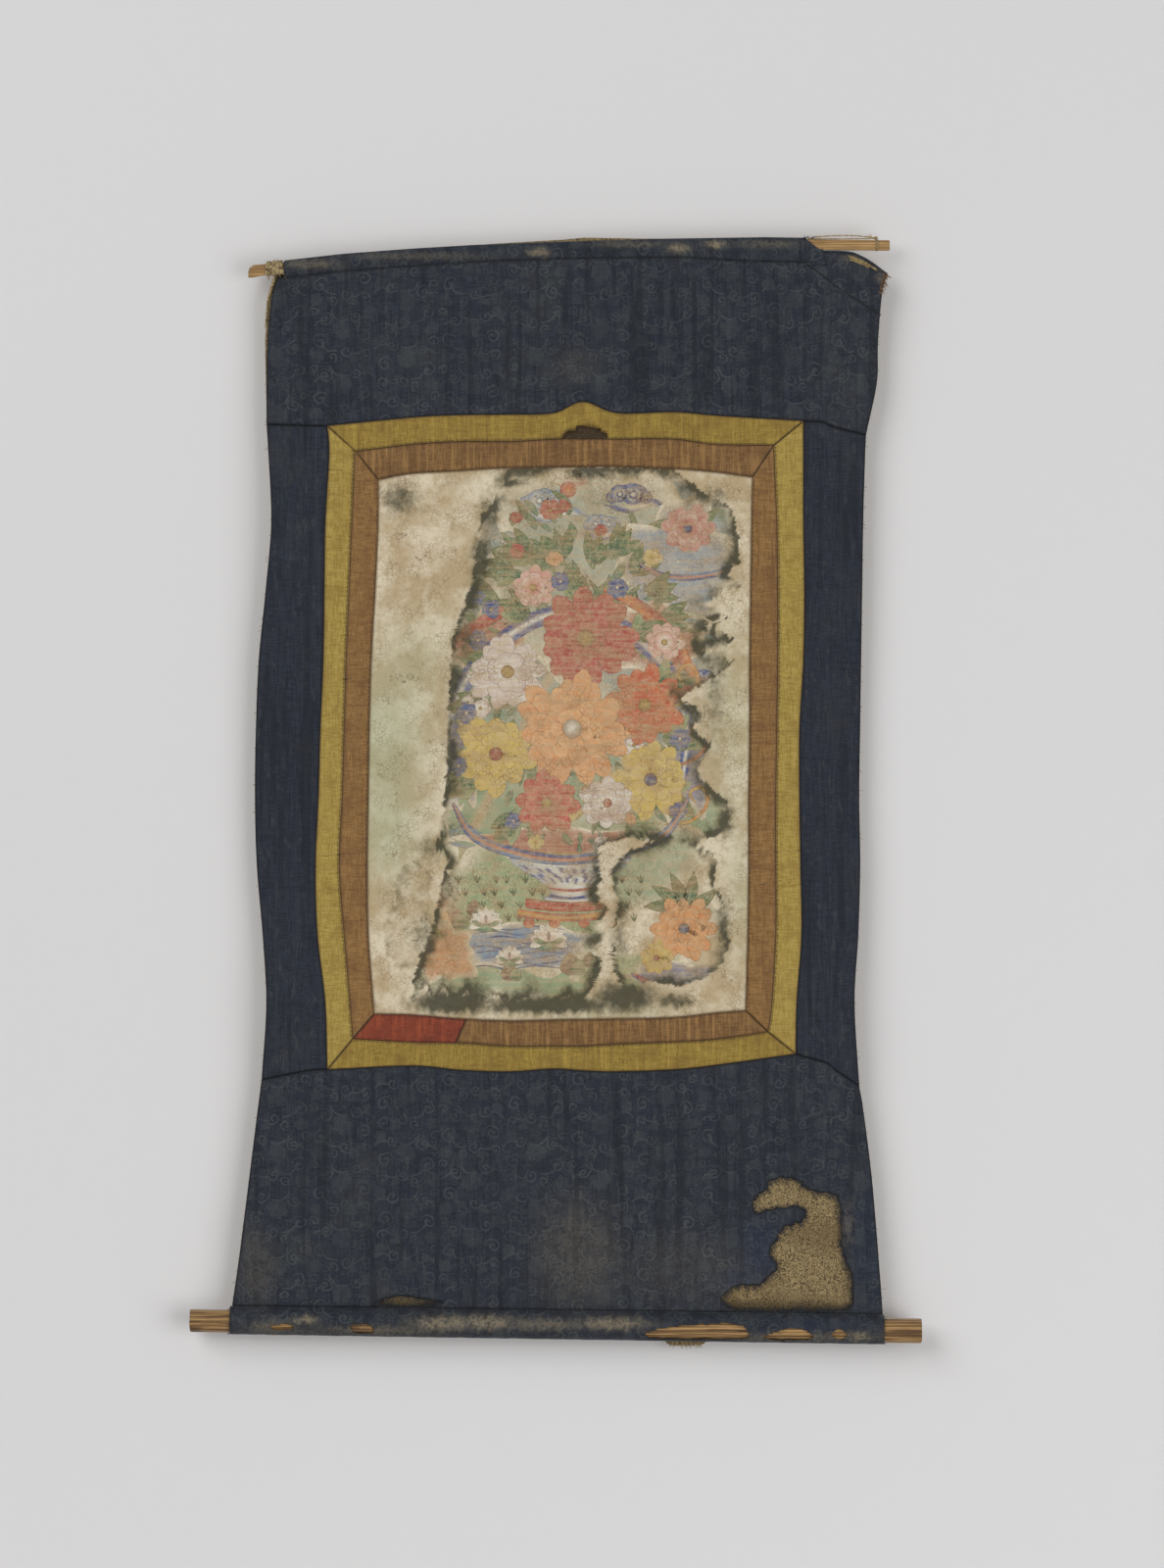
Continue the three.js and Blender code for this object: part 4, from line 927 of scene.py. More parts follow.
def make_top_panel():
    """Flat panel up to the casing seam, and a casing carried round the stave as a drop-shaped tube."""
    bottom = np.vstack([SIDES["top_left"], GOLD["top"][1:], SIDES["top_right"][1:]])
    seam = [(x, z + 1.2) for x, z in CASING_SEAM]
    top = through([*seam, *SLIPPED_EDGE], len(bottom))
    left = through(TOP_LEFT_EDGE, 66)
    right = through(TOP_RIGHT_EDGE, 66)
    left[-1] = top[0]
    grid = patch(bottom, right, top, left)
    x, z = grid[..., 0], grid[..., 1]
    panel = upright(x, z, hang(x, z)).reshape(-1, 3)
    faces = quads(*x.shape)

    station = np.linspace(TOP_CASING["from"], TOP_CASING["to"], 200)
    half = STAVE_THICKNESS / 2 + STAVE_ROOM + INSIDE
    head = STAVE_HEIGHT / 2 + STAVE_HEADROOM + INSIDE
    middle = along(STAVE_LINE, station)
    tip = along(CASING_SEAM, station)
    turn = full_turn(28)
    up = np.cos(turn)[None, :]
    narrow = np.clip(-up, 0, 1) ** 2
    y = -half * np.sin(turn)[None, :] * (1 - 0.55 * narrow)
    below = (middle - tip)[:, None]
    rise = np.where(up > 0, head * up, below * up * (0.72 + 0.28 * narrow))
    y = y + 0.25 * waves(station, (9, 23, 51), 31)[:, None]
    casing = upright(station[:, None], middle[:, None] + rise, y)

    # The casing's torn end lies over the front of the stave, cut off at a slant
    height = np.linspace(FLAP["from"], FLAP["to"], 26)[:, None]
    torn = across_at(FLAP_EDGE, height) + 0.8 * waves(height, (2.3, 3.7, 8), 32)
    flap_x = FLAP["x"] + (torn - FLAP["x"]) * even(14)[None, :]
    lies = smooth(height, -15, -3)
    flap_y = (hang(flap_x, height + 0 * flap_x) - 0.8) * (1 - lies) + FLAP["y"] * lies
    flap = upright(flap_x, height, flap_y).reshape(-1, 3)
    points = np.vstack([panel, casing.reshape(-1, 3), flap])
    faces = np.vstack([faces, quads(len(station), len(turn), closed=True) + len(panel),
                       quads(*flap_x.shape) + len(points) - len(flap)])
    piece = cloth("top_panel", points, faces, DAMASK)
    give(piece, "wear", patches(points[:, 0], points[:, 2], TOP_RUBS))
    # Painted shade along the casing's seam, where the silk is pinched in, and along the panel's edges
    casing_seam_shade = np.exp(-np.abs(points[:, 2] - along(CASING_SEAM, points[:, 0])) / 2) * (points[:, 0] < 250)
    give(piece, "edge_shade_and_grime", np.maximum(casing_seam_shade, np.append(np.exp(-from_border(grid) / TURNED["shade_and_grime"]).ravel(),
                                                  np.zeros(len(points) - len(panel)))))
    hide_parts("silk_top")


def make_side_panels():
    """Plain silk at both sides, each between the gold strip and its own free edge."""
    uprights = np.array(LEVELS, float)[::-1]
    outer_left = through([SHOULDERS["bottom_left"][0], *uprights[:, [1, 0]],
                          SHOULDERS["top_left"][0]], DOWN + 1)
    outer_right = through([SHOULDERS["bottom_right"][4], *uprights[:, [6, 0]],
                           SHOULDERS["top_right"][3]], DOWN + 1)
    left = patch(SIDES["bottom_left"], GOLD["left"], SIDES["top_left"], outer_left)
    right = patch(SIDES["bottom_right"], outer_right, SIDES["top_right"], GOLD["right"])
    flat_piece("left_panel", "silk_left", left, PLAIN_SILK)
    flat_piece("right_panel", "silk_right", right, PLAIN_SILK)


# The bottom panel is the same damask. Its foot is wrapped round the roller as a casing, worn through
# to the wood in places, and at the lower right a big piece of it is torn away.
CASING_LEFT = -345
CASING_RIGHT = 322
CASING_SLACK = 0.7
CASING_RISE = 2.2
BOTTOM_LEFT_EDGE = [(-343, -1078), (-335, -1022.5), (-326, -950.5), (-317, -878.5), (-313, -848.5)]
BOTTOM_RIGHT_EDGE = [(321, -1088), (318, -1046.5), (310, -950.5), (301, -878.5), (297, -855.5)]
TEAR = [
    (205, -953), (217, -949), (231, -950), (244, -960), (260, -964), (274, -967), (277, -979),
    (279, -1000), (278, -1016), (283, -1034), (289, -1048), (290, -1064), (288, -1078), (280, -1083),
    (232, -1083), (187, -1083), (167, -1081), (157, -1073), (163, -1064), (174, -1059), (196, -1057),
    (208, -1047), (214, -1038), (206, -1027), (208, -1017), (215, -1008), (219, -1000), (237, -994),
    (244, -986), (239, -979), (229, -977), (203, -981), (195, -984), (189, -980), (190, -969),
    (203, -961),
]
SMALL_TEAR = [(-199, -1077), (-185, -1071), (-171, -1069), (-151, -1072), (-128, -1076), (-160, -1079)]
TEARS = [(TEAR, 0.8, 41), (SMALL_TEAR, 0.7, 42)]  # outline, unevenness, seed
TORN_STEP = 2
WORN_HOLES = [
    [(-304, -1099), (-292, -1096), (-279, -1098), (-283, -1102), (-298, -1103)],
    [(-224, -1098), (-208, -1096), (-199, -1099), (-199, -1105), (-217, -1106)],
    [(76, -1105), (111, -1098), (142, -1096), (172, -1096), (184, -1107), (172, -1112), (90, -1112)],
    [(198, -1109), (215, -1103), (234, -1100), (250, -1109), (240, -1113), (207, -1113)],
    [(268, -1108), (275, -1101), (284, -1107), (277, -1113)],
]
BOTTOM_RUBS = [
    # x, z, half width, half height, how worn
    (-126, -1096, 26, 6, 0.8), (-84, -1095, 26, 6, 0.75), (44, -1096, 30, 5, 0.75),
    (297, -1109, 9, 4, 0.8), (-267, -1092, 10, 3, 0.9), (-30, -1097, 40, 5, 0.45),
    (10, -1026, 34, 44, 0.2), (-300, -1100, 26, 6, 0.35), (-190, -1103, 60, 4, 0.4),
    (240, -1110, 70, 4, 0.35), (120, -1040, 60, 30, 0.1), (-318, -1040, 16, 30, 0.16),
    (285, -996, 4, 18, 0.3),
]
FRESH_BLUE = [
    # x, z, half width, half height, how blue, where the torn silk shows its unfaded side
    (194, -1022, 15, 24, 0.45), (172, -1052, 22, 10, 0.3), (306, -1010, 12, 64, 0.2),
    (222, -1010, 12, 14, 0.2), (262, -1096, 40, 5, 0.2), (285, -996, 5, 20, 0.25),
]
CURLED_EDGE = {"x": 279.5, "from": -977, "to": -1016, "width": 8.5, "lift": 1.6}


def outside(x, z, outline):
    """Distance of points from a closed outline, below nought inside it, and the way out to it."""
    loop = np.asarray(outline, float)
    best = np.full(x.shape, 1e9)
    way_x, way_z = np.zeros_like(x), np.zeros_like(x)
    inside = np.zeros(x.shape, bool)
    for (x0, z0), (x1, z1) in zip(loop, np.roll(loop, -1, 0)):
        dx, dz = x1 - x0, z1 - z0
        share = np.clip(((x - x0) * dx + (z - z0) * dz) / (dx * dx + dz * dz), 0, 1)
        to_x, to_z = x0 + share * dx - x, z0 + share * dz - z
        distance = np.hypot(to_x, to_z)
        nearer = distance < best
        best = np.where(nearer, distance, best)
        way_x, way_z = np.where(nearer, to_x, way_x), np.where(nearer, to_z, way_z)
        crosses = (z0 > z) != (z1 > z)
        with np.errstate(divide="ignore", invalid="ignore"):
            inside ^= crosses & (x < x0 + dx * (z - z0) / dz)
    return np.where(inside, -best, best), way_x, way_z


def ragged(outline, depth, seed):
    """An outline as a torn edge: a smooth loop through its points, with uneven bites along it."""
    loop = through([*outline, outline[0]], 150)
    length = np.hypot(*(loop - np.roll(loop, 1, 0)).T).sum()
    loop = through([*outline, outline[0]], max(12, int(length / TORN_STEP)))[:-1]
    draw = np.random.default_rng(seed)
    return loop + draw.normal(0, depth, loop.shape)


def cut_out(x, z, faces, outline, reach):
    """Moves points close to an outline onto it, and drops the faces that then lie inside it."""
    distance, way_x, way_z = outside(x, z, outline)
    near = np.abs(distance) < reach
    x, z = np.where(near, x + way_x, x), np.where(near, z + way_z, z)
    held = np.where(near, 0, distance)
    return x, z, faces[held[faces].mean(1) > 0.01 * reach]


def make_bottom_panel():
    """Flat panel down to the seam over the roller, and a casing: a circle drawn up to a soft ridge."""
    top = np.vstack([SIDES["bottom_left"], GOLD["bottom"][1:], SIDES["bottom_right"][1:]])
    left = through(BOTTOM_LEFT_EDGE, 110)
    right = through(BOTTOM_RIGHT_EDGE, 110)
    share = even(len(top))
    x = left[0, 0] + (right[0, 0] - left[0, 0]) * share
    foot = np.column_stack([x, roller_height(x) + roller_radius(x) + 2.6])
    left[0], right[0] = foot[0], foot[-1]
    grid = patch(foot, right, top, left)
    x, z = grid[..., 0].ravel(), grid[..., 1].ravel()
    faces = quads(*grid.shape[:2])
    # Painted shade and grime along the panel's edges, a painted shadow line in the crease just above the
    # roller casing, and painted shade along the torn edges
    edge_shade_and_grime = np.maximum(np.exp(-from_border(grid) / TURNED["shade_and_grime"]).ravel(),
                     0.9 * np.exp(-((z - roller_height(x) - roller_radius(x) - 3) / 3.4) ** 2))
    for outline, depth, seed in TEARS:
        edge = ragged(outline, depth, seed)
        x, z, faces = cut_out(x, z, faces, edge, 1.25)
        edge_shade_and_grime = np.maximum(edge_shade_and_grime, np.exp(-np.maximum(outside(x, z, edge)[0], 0) / 2.4))
    panel = upright(x, z, hang(x, z))

    # Along the right side of the tear the silk is turned back on itself in a lifted curl
    down = even(26)[:, None]
    over = even(7)[None, :]
    bow = np.sin(np.pi * down) ** 0.7
    curl_x = CURLED_EDGE["x"] + 4 * down + CURLED_EDGE["width"] * over * bow
    curl_x = curl_x + 0.5 * waves(down, (0.31, 0.13), 46)
    curl_z = CURLED_EDGE["from"] + (CURLED_EDGE["to"] - CURLED_EDGE["from"]) * down + 0 * over
    curl_y = hang(curl_x, curl_z) - 0.65 - CURLED_EDGE["lift"] * bow * np.sin(0.6 * np.pi * over)
    curl = upright(curl_x, curl_z, curl_y).reshape(-1, 3)
    faces = np.vstack([faces, quads(*curl_x.shape)[:, ::-1] + len(panel)])
    panel = np.vstack([panel, curl])
    edge_shade_and_grime = np.append(edge_shade_and_grime, np.zeros(len(curl)))

    station = np.linspace(CASING_LEFT, CASING_RIGHT, 300)
    turn = full_turn(44)
    radius = (roller_radius(station) + CASING_SLACK + INSIDE)[:, None]
    radius = radius + 0.22 * waves(station[:, None] + 14 * turn[None, :], (17, 29, 53), 43)
    pull = CASING_RISE * np.clip(np.cos(turn), 0, 1)[None, :] ** 6
    ring = upright(station[:, None], roller_height(station)[:, None] + radius * np.cos(turn) + pull,
                   -radius * np.sin(turn))
    wrapped = quads(len(station), len(turn), closed=True)
    cx, cy, cz = ring.reshape(-1, 3).T
    for number, outline in enumerate(WORN_HOLES):
        hole = ragged(outline, 0.5, 44 + number)
        distance, way_x, way_z = outside(cx, cz, hole)
        near = (np.abs(distance) < 0.9) & (cy < 0)
        cx, cz = np.where(near, cx + way_x, cx), np.where(near, cz + way_z, cz)
        held = np.where(near, 0, np.where(cy < 0, distance, 1))
        wrapped = wrapped[held[wrapped].mean(1) > 0.01]
    casing = upright(cx, cz, cy)
    points = np.vstack([panel, casing])
    faces = np.vstack([faces, wrapped + len(panel)])
    piece = cloth("bottom_panel", points, faces, DAMASK)
    give(piece, "edge_shade_and_grime", np.append(edge_shade_and_grime, np.zeros(len(casing))))
    give(piece, "wear", patches(points[:, 0], points[:, 2], BOTTOM_RUBS, 1.6))
    give(piece, "fresh", patches(points[:, 0], points[:, 2], FRESH_BLUE, 2))
    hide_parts("silk_bottom")


make_top_panel()
make_side_panels()
make_bottom_panel()


# The gold frame: four strips of yellow-ochre satin silk, mitred at the corners. The upper one has
# parted from the brown strip below it in the middle, where it stands off in a small crescent.
CRESCENT = {"x": 17, "z": -194.5, "half_width": 23, "height": 12, "below": 3}


def satin(name, dark, light, worn, shade_and_grime, ribbed, painted_gleam):
    """Satin silk of one colour: fine ribs, faded and rubbed patches, stains, painted gleams along its warp,
    and painted shade and grime along its seams.
    """
    silk = Finish(name, 0.6, sheen=0.08)
    silk.shader.inputs["Specular IOR Level"].default_value = 0.25
    rib = silk.noise(0.9, 2, stretch=(10, 1, 1), rough=0.6)
    warp = silk.noise(0.8, 2, stretch=(1, 1, 10), rough=0.6)
    bars = silk.noise(4, 3, stretch=(14, 1, 1), rough=0.7)
    posts = silk.noise(4, 3, stretch=(1, 1, 18), rough=0.7)
    cloud = silk.noise(24, 4, rough=0.6)
    spots = silk.noise(4, 3, rough=0.7)
    threads = silk.times_plus(rib, 0.5, silk.times(warp, 0.5))
    base = silk.mix(silk.step(threads, 0.36, 0.64), dark, light)
    base = silk.over(base, bars, 0.5, 0.72, ribbed, worn)
    base = silk.over(base, posts, 0.5, 0.72, ribbed, worn)
    # Painted highlight: lighter streaks along the warp that stand for the satin's sheen
    gleams = silk.noise(5, 3, stretch=(1, 1, 20), rough=0.7)
    gleam = [1.5 * part for part in linear(*light)[:3]] + [1]
    base = silk.over(base, gleams, 0.48, 0.62, painted_gleam, gleam)
    base = silk.over(base, cloud, 0.45, 0.7, 0.5, worn)
    base = silk.over(base, spots, 0.64, 0.74, 0.45, shade_and_grime)
    # Painted shade and grime along the seams
    base = silk.over(base, silk.attribute("edge_shade_and_grime"), 0.15, 1, 0.75, shade_and_grime)
    return silk.finish(base, threads, 0.14)


GOLD_SATIN = satin("gold_satin", (134, 112, 44), (168, 146, 76), (126, 98, 42),
                   (78, 56, 30), 0.35, 0.06)
GOLD_DULL = satin("gold_satin_dull", (118, 96, 32), (152, 128, 58), (110, 82, 36),
                  (66, 46, 26), 0.5, 0.24)
BROWN_SATIN = satin("brown_satin", (98, 68, 35), (130, 99, 58), (90, 60, 34),
                    (58, 38, 24), 0.65, 0.55)
BROWN_LIGHTER = satin("brown_satin_sides", (108, 77, 39), (144, 110, 64), (98, 66, 38),
                      (60, 40, 25), 0.6, 0.1)
RED_SATIN = satin("red_satin", (106, 40, 24), (136, 66, 40), (92, 42, 28),
                  (56, 30, 22), 0.5, 0.4)


def mitre(start, end):
    """Points across a strip, crowded towards both of its seams."""
    across = even(STRIP + 1)[:, None]
    share = across - 0.11 * np.sin(2 * np.pi * across)
    return np.asarray(start, float) * (1 - share) + np.asarray(end, float) * share


def strips(outer, outer_corners, inner, inner_corners):
    """The four strips between two frames, each cut at the mitres; given as grids by their side."""
    tl, tr, br, bl = (mitre(inner_corners[k], outer_corners[k]) for k in ("tl", "tr", "br", "bl"))
    return {
        "top": patch(inner["top"], tr, outer["top"], tl),
        "bottom": patch(outer["bottom"], br[::-1], inner["bottom"], bl[::-1]),
        "left": patch(bl[::-1], inner["left"], tl[::-1], outer["left"]),
        "right": patch(br, outer["right"], tr, inner["right"]),
    }


def make_gold_frame():
    grids = strips(GOLD, GOLD_CORNERS, BROWN, BROWN_CORNERS)
    flat_piece("gold_strip_bottom", "gold_bottom", grids["bottom"], GOLD_DULL)
    flat_piece("gold_strip_left", "gold_left", grids["left"], GOLD_SATIN)
    flat_piece("gold_strip_right", "gold_right", grids["right"], GOLD_SATIN)
    turn = np.linspace(0, np.pi, 40)
    hole = np.column_stack([CRESCENT["x"] + CRESCENT["half_width"] * np.cos(turn),
                            CRESCENT["z"] + CRESCENT["height"] * np.sin(turn)])
    hole = np.vstack([hole, [(CRESCENT["x"], CRESCENT["z"] - CRESCENT["below"])]])
    grid = grids["top"]
    x, z = grid[..., 0].ravel(), grid[..., 1].ravel()
    x, z, faces = cut_out(x, z, quads(*grid.shape[:2]), hole, 1.2)
    lift = 1.2 * np.exp(-((x - CRESCENT["x"]) / 26) ** 2 - ((z + 183) / 8) ** 2)
    points = upright(x, z, hang(x, z) - lift)
    piece = cloth("gold_strip_top", points, faces, GOLD_DULL)
    # Painted shade round the crescent gap, where the strip stands off from the brown one
    shade_and_grime = np.exp(-np.maximum(outside(x, z, hole)[0], 0) / 3)
    give(piece, "edge_shade_and_grime", np.maximum(shade_and_grime, np.exp(-from_border(grid) / TURNED["shade_and_grime"]).ravel()))
    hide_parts("gold_top")


make_gold_frame()


# The brown frame inside it: four strips of ribbed brown silk. The left quarter of the lower one is a
# piece of red silk, put in where the brown ran short.
def make_brown_frame():
    grids = strips(BROWN, BROWN_CORNERS, PICTURE, PICTURE_CORNERS)
    flat_piece("brown_strip_top", "brown_top", grids["top"], BROWN_SATIN)
    flat_piece("brown_strip_left", "brown_left", grids["left"], BROWN_LIGHTER)
    flat_piece("brown_strip_right", "brown_right", grids["right"], BROWN_LIGHTER)
    lower = grids["bottom"]
    joint = ACROSS // 4
    flat_piece("brown_strip_bottom", "brown_bottom", lower[:, joint:], BROWN_SATIN)
    flat_piece("red_piece", "red_patch", lower[:, :joint + 1], RED_SATIN)


make_brown_frame()


# The picture is painted on sized white cotton: glue and chalk ground, mineral colours. It has cracked
# along its folds, flaked, and been stained by water that ran down it and left tide marks.
CRIMSON, ROSE, ORANGE, OCHRE = (148, 62, 54), (180, 108, 94), (186, 122, 76), (174, 146, 76)
WHITE, CREAM, INDIGO, SLATE = (214, 208, 190), (202, 188, 154), (58, 72, 118), (112, 130, 146)
GREEN, MOSS, PALE_GREEN, LILAC = (72, 100, 74), (102, 114, 70), (144, 160, 124), (178, 156, 148)
WATER_LINES = [
    # closed line (x, z) that the water reached, how far the dirt spreads inside it, how dark
    ([(-62, -224), (-66, -256), (-88, -272), (-92, -308), (-97, -338), (-104, -364), (-116, -390),
      (-119, -424), (-122, -490), (-123, -540), (-128, -585), (-134, -612), (-122, -624), (-126, -640),
      (-140, -700), (-156, -742), (-158, -764), (-146, -750), (-138, -766), (-128, -752), (-116, -768),
      (-104, -756), (-90, -770), (-74, -760), (-58, -768), (-34, -762), (-18, -772), (-4, -762),
      (12, -768), (26, -751), (33, -725), (26, -712), (34, -699), (26, -690), (40, -676), (28, -662),
      (32, -640), (29, -610), (60, -600), (108, -604), (133, -606), (156, -595), (163, -565),
      (141, -550), (130, -531), (145, -509), (126, -490), (139, -474), (111, -460), (145, -438),
      (168, -423), (132, -409), (170, -400), (134, -382), (162, -376), (136, -366), (160, -350),
      (178, -343), (160, -334), (174, -318), (172, -290), (164, -262), (142, -254), (122, -238),
      (106, -224)], 10, 1),
    ([(44, -636), (60, -616), (100, -602), (130, -606), (152, -624), (146, -646), (158, -668),
      (154, -684), (164, -706), (158, -726), (141, -743), (114, -752), (84, -746), (62, -758),
      (48, -738), (44, -700), (52, -676)], 9, 0.85),
    ([(-176, -640), (-158, -624), (-140, -640), (-144, -668), (-136, -700), (-148, -730), (-172, -736),
      (-186, -716), (-188, -690), (-176, -668)], 16, 0.42),
]
DARK_BLURS = [
    # x, z, half width, half height, how dark
    (-172, -256, 24, 20, 0.62), (-66, -236, 12, 16, 0.55), (-80, -272, 16, 26, 0.55),
    (36, -258, 40, 10, 0.3), (-88, -320, 14, 36, 0.7), (-118, -770, 46, 12, 1),
    (-20, -772, 84, 10, 0.95), (58, -764, 36, 18, 0.9), (108, -768, 26, 9, 0.7),
    (160, -582, 10, 22, 0.75), (158, -690, 10, 36, 0.6), (150, -252, 16, 12, 0.5),
    (-114, -470, 10, 54, 0.45), (52, -700, 11, 42, 0.5), (-104, -400, 14, 36, 0.55),
    (150, -456, 14, 64, 0.45), (-150, -700, 20, 26, 0.45), (-142, -612, 16, 14, 0.5),
]
WATER_GREEN = [
    # x, z, half width, half height, how green
    (-190, -500, 46, 70, 0.85), (-186, -600, 34, 50, 0.75), (168, -480, 24, 90, 0.45),
    (-150, -420, 40, 40, 0.35), (176, -660, 16, 70, 0.4), (20, -778, 120, 10, 0.3),
]


def stained(x, z):
    """Stain strength, 0 to 1: cut off at each water line, fading inside it, and soft dark blurs."""
    wander_x = x + 2.4 * waves(z, (9, 14, 23), 61) + 0.9 * waves(z + x, (4.3, 6.1), 65)
    wander_z = z + 2.4 * waves(x, (8, 13, 21), 62) + 0.9 * waves(z - x, (4.7, 6.7), 66)
    strength = np.zeros_like(x)
    for line, spread, dark in WATER_LINES:
        distance = outside(wander_x, wander_z, line)[0]
        depth = spread * (1.05 + 0.75 * waves(x + 0.7 * z, (47, 71, 29), 67))
        uneven = np.clip(0.88 + 0.5 * waves(z - 0.8 * x, (83, 53, 37), 68), 0.3, 1)
        band = np.exp(np.minimum(distance, 0) / depth) * np.exp(-(np.maximum(distance, 0) / 1.3) ** 2)
        strength = np.maximum(strength, dark * uneven * band)
    for x0, z0, half_x, half_z, dark in DARK_BLURS:
        blur = np.exp(-((wander_x - x0) / half_x) ** 2 - ((wander_z - z0) / half_z) ** 2)
        strength = np.maximum(strength, dark * blur)
    return strength


def washed(x, z):
    """How much of the paint the water has taken: nearly all outside its lines, and a little everywhere."""
    beyond = np.minimum(outside(x, z, WATER_LINES[0][0])[0], outside(x, z, WATER_LINES[1][0])[0])
    high = smooth(z, -246, -230)
    return np.clip(0.04 + 0.85 * smooth(beyond, -3, 6) + 0.4 * high, 0, 0.95)


def greened(x, z):
    """Where green colour has run into the ground."""
    return sum(share * np.exp(-((x - x0) / hx) ** 2 - ((z - z0) / hz) ** 2)
               for x0, z0, hx, hz, share in WATER_GREEN)


def give_age(piece, x, z):
    give(piece, "stain", stained(x, z))
    give(piece, "washed", washed(x, z))
    give(piece, "green", greened(x, z))


def give_colour(piece, seen, cover):
    """Colours as seen on a screen for each point of a piece, and how much they cover."""
    light = light_of(seen).reshape(-1, 3)
    light = np.column_stack([light, np.ones(len(light))])
    colours = piece.data.attributes.new("colour", "FLOAT_COLOR", "POINT")
    colours.data.foreach_set("color", light.astype(np.float32).ravel())
    give(piece, "cover", cover)


def tint(first, second, share):
    """Mixed colours, first to second, for an array of shares."""
    share = np.asarray(share, float)[..., None]
    return (1 - share) * np.asarray(first, float) + share * np.asarray(second, float)


def field_colour(x, z):
    """Thin colour between the motifs: slate above, olive green in the middle and meadow green below."""
    height = smooth(z, -640, -300)
    colour = tint((126, 148, 112), (128, 138, 136), height)
    drift = 0.5 + 0.5 * waves(x + 0.35 * z, (61, 37, 97), 71) * waves(z - 0.2 * x, (53, 83), 72)
    colour = tint(colour, (104, 118, 88), smooth(drift, 0.55, 0.9))
    warm = smooth(0.5 + 0.5 * waves(x - 0.5 * z, (41, 67, 29), 73), 0.6, 0.95)
    colour = tint(colour, (182, 142, 100), 0.7 * warm * smooth(z, -660, -600))
    inside = 1 - smooth(outside(x, z, WATER_LINES[0][0])[0], -9, 1)
    return colour, inside * np.clip(0.5 + 0.5 * drift, 0, 1)


def aged(paint, colour):
    """Chalk ground, with the colour on it where there is any: flaked, cracked, faded, water-stained, and
    darkened along its seams by painted shade and grime.
    """
    tone = paint.noise(46, 5, rough=0.65)
    fine = paint.noise(7, 5, rough=0.7)
    weave = paint.noise(0.9, 2, rough=0.6)
    base = paint.mix(paint.step(tone, 0.38, 0.64), (176, 156, 122), (210, 198, 172))
    base = paint.over(base, fine, 0.48, 0.7, 0.6, (158, 138, 102))
    base = paint.mix(paint.times(paint.attribute("green"), 0.66), base, (158, 166, 132))
    wear = paint.noise(3.4, 6, rough=0.72)
    patchy = paint.noise(16, 5, rough=0.7)
    lost = paint.times_plus(paint.attribute("washed"), 0.52,
                            paint.times_plus(wear, 0.5, paint.times(patchy, 0.42)))
    kept = paint.times(paint.step(lost, 0.5, 0.74, 1, 0.05), paint.attribute("cover"))
    run = paint.noise(3, 3, stretch=(9, 1, 1), rough=0.6)
    faded = paint.mix(paint.step(run, 0.42, 0.64, 0, 0.46), colour, (176, 152, 116))
    base = paint.mix(kept, base, faded)
    cells = paint.node("ShaderNodeTexVoronoi", feature="DISTANCE_TO_EDGE")
    paint.feed(cells.inputs["Vector"], paint.stretched(260, 260, 230))
    paint.feed(cells.inputs["Scale"], 1)
    crack = paint.step(cells.outputs["Distance"], 0.015, 0.07, 1, 0)
    where = paint.step(paint.noise(26, 3), 0.46, 0.6, 0.05, 0.6)
    base = paint.mix(paint.times(crack, where), base, (120, 98, 68))
    mark = paint.attribute("stain")
    uneven = paint.times_plus(paint.noise(9, 5, rough=0.7), 0.8, -0.4)
    dark = paint.step(paint.maths("ADD", mark, uneven), 0.08, 0.74, 0, 0.92)
    base = paint.mix(dark, base, paint.mix(dark, (114, 102, 64), (52, 52, 38)))
    # Painted shade and grime along the picture's seams
    seam_shade_and_grime = paint.step(paint.attribute("edge_shade_and_grime"), 0.2, 1, 0, 0.6)
    base = paint.mix(seam_shade_and_grime, base, (96, 74, 46))
    height = paint.times_plus(crack, -0.5, paint.times_plus(fine, 0.8, weave))
    return paint.finish(base, height, 0.2)


PICTURE_GRID = patch(PICTURE["bottom"], PICTURE["right"], PICTURE["top"], PICTURE["left"])


def make_picture():
    ground = Finish("painted_ground", 0.85)
    picture = flat_piece("painted_cotton", "picture", PICTURE_GRID,
                         aged(ground, ground.attribute("colour", colour=True)))
    x, z = PICTURE_GRID[..., 0], PICTURE_GRID[..., 1]
    give_age(picture, x, z)
    give_colour(picture, *field_colour(x, z))
    return picture


picture = make_picture()


# The painting is a nosegay of peonies, asters and a lotus in a footed bowl, tied with long scarves,
# over a meadow and a pond, with clouds above. Each stroke is a thin skin of colour on the cotton.
SKIN = {"first": 0.34, "step": 0.012}  # how far strokes stand off the middle of the cotton
STROKES = []


def stroke(x, z, level, colour, rim, cover=1):
    """A grid of points with their place in the stack, colour, millimetres from the edge and cover."""
    faces = quads(*x.shape)
    area = np.sum((x[1:, 1:] - x[:-1, :-1]) * (z[1:, :-1] - z[:-1, 1:])
                  - (x[1:, :-1] - x[:-1, 1:]) * (z[1:, 1:] - z[:-1, :-1]))
    if area > 0:
        faces = faces[:, ::-1]
    rows = [np.broadcast_to(part, x.shape).ravel() for part in (x, z, level, rim, cover)]
    colours = np.broadcast_to(colour, (*x.shape, 3)).reshape(-1, 3)
    STROKES.append((np.column_stack([*rows, colours]), faces))


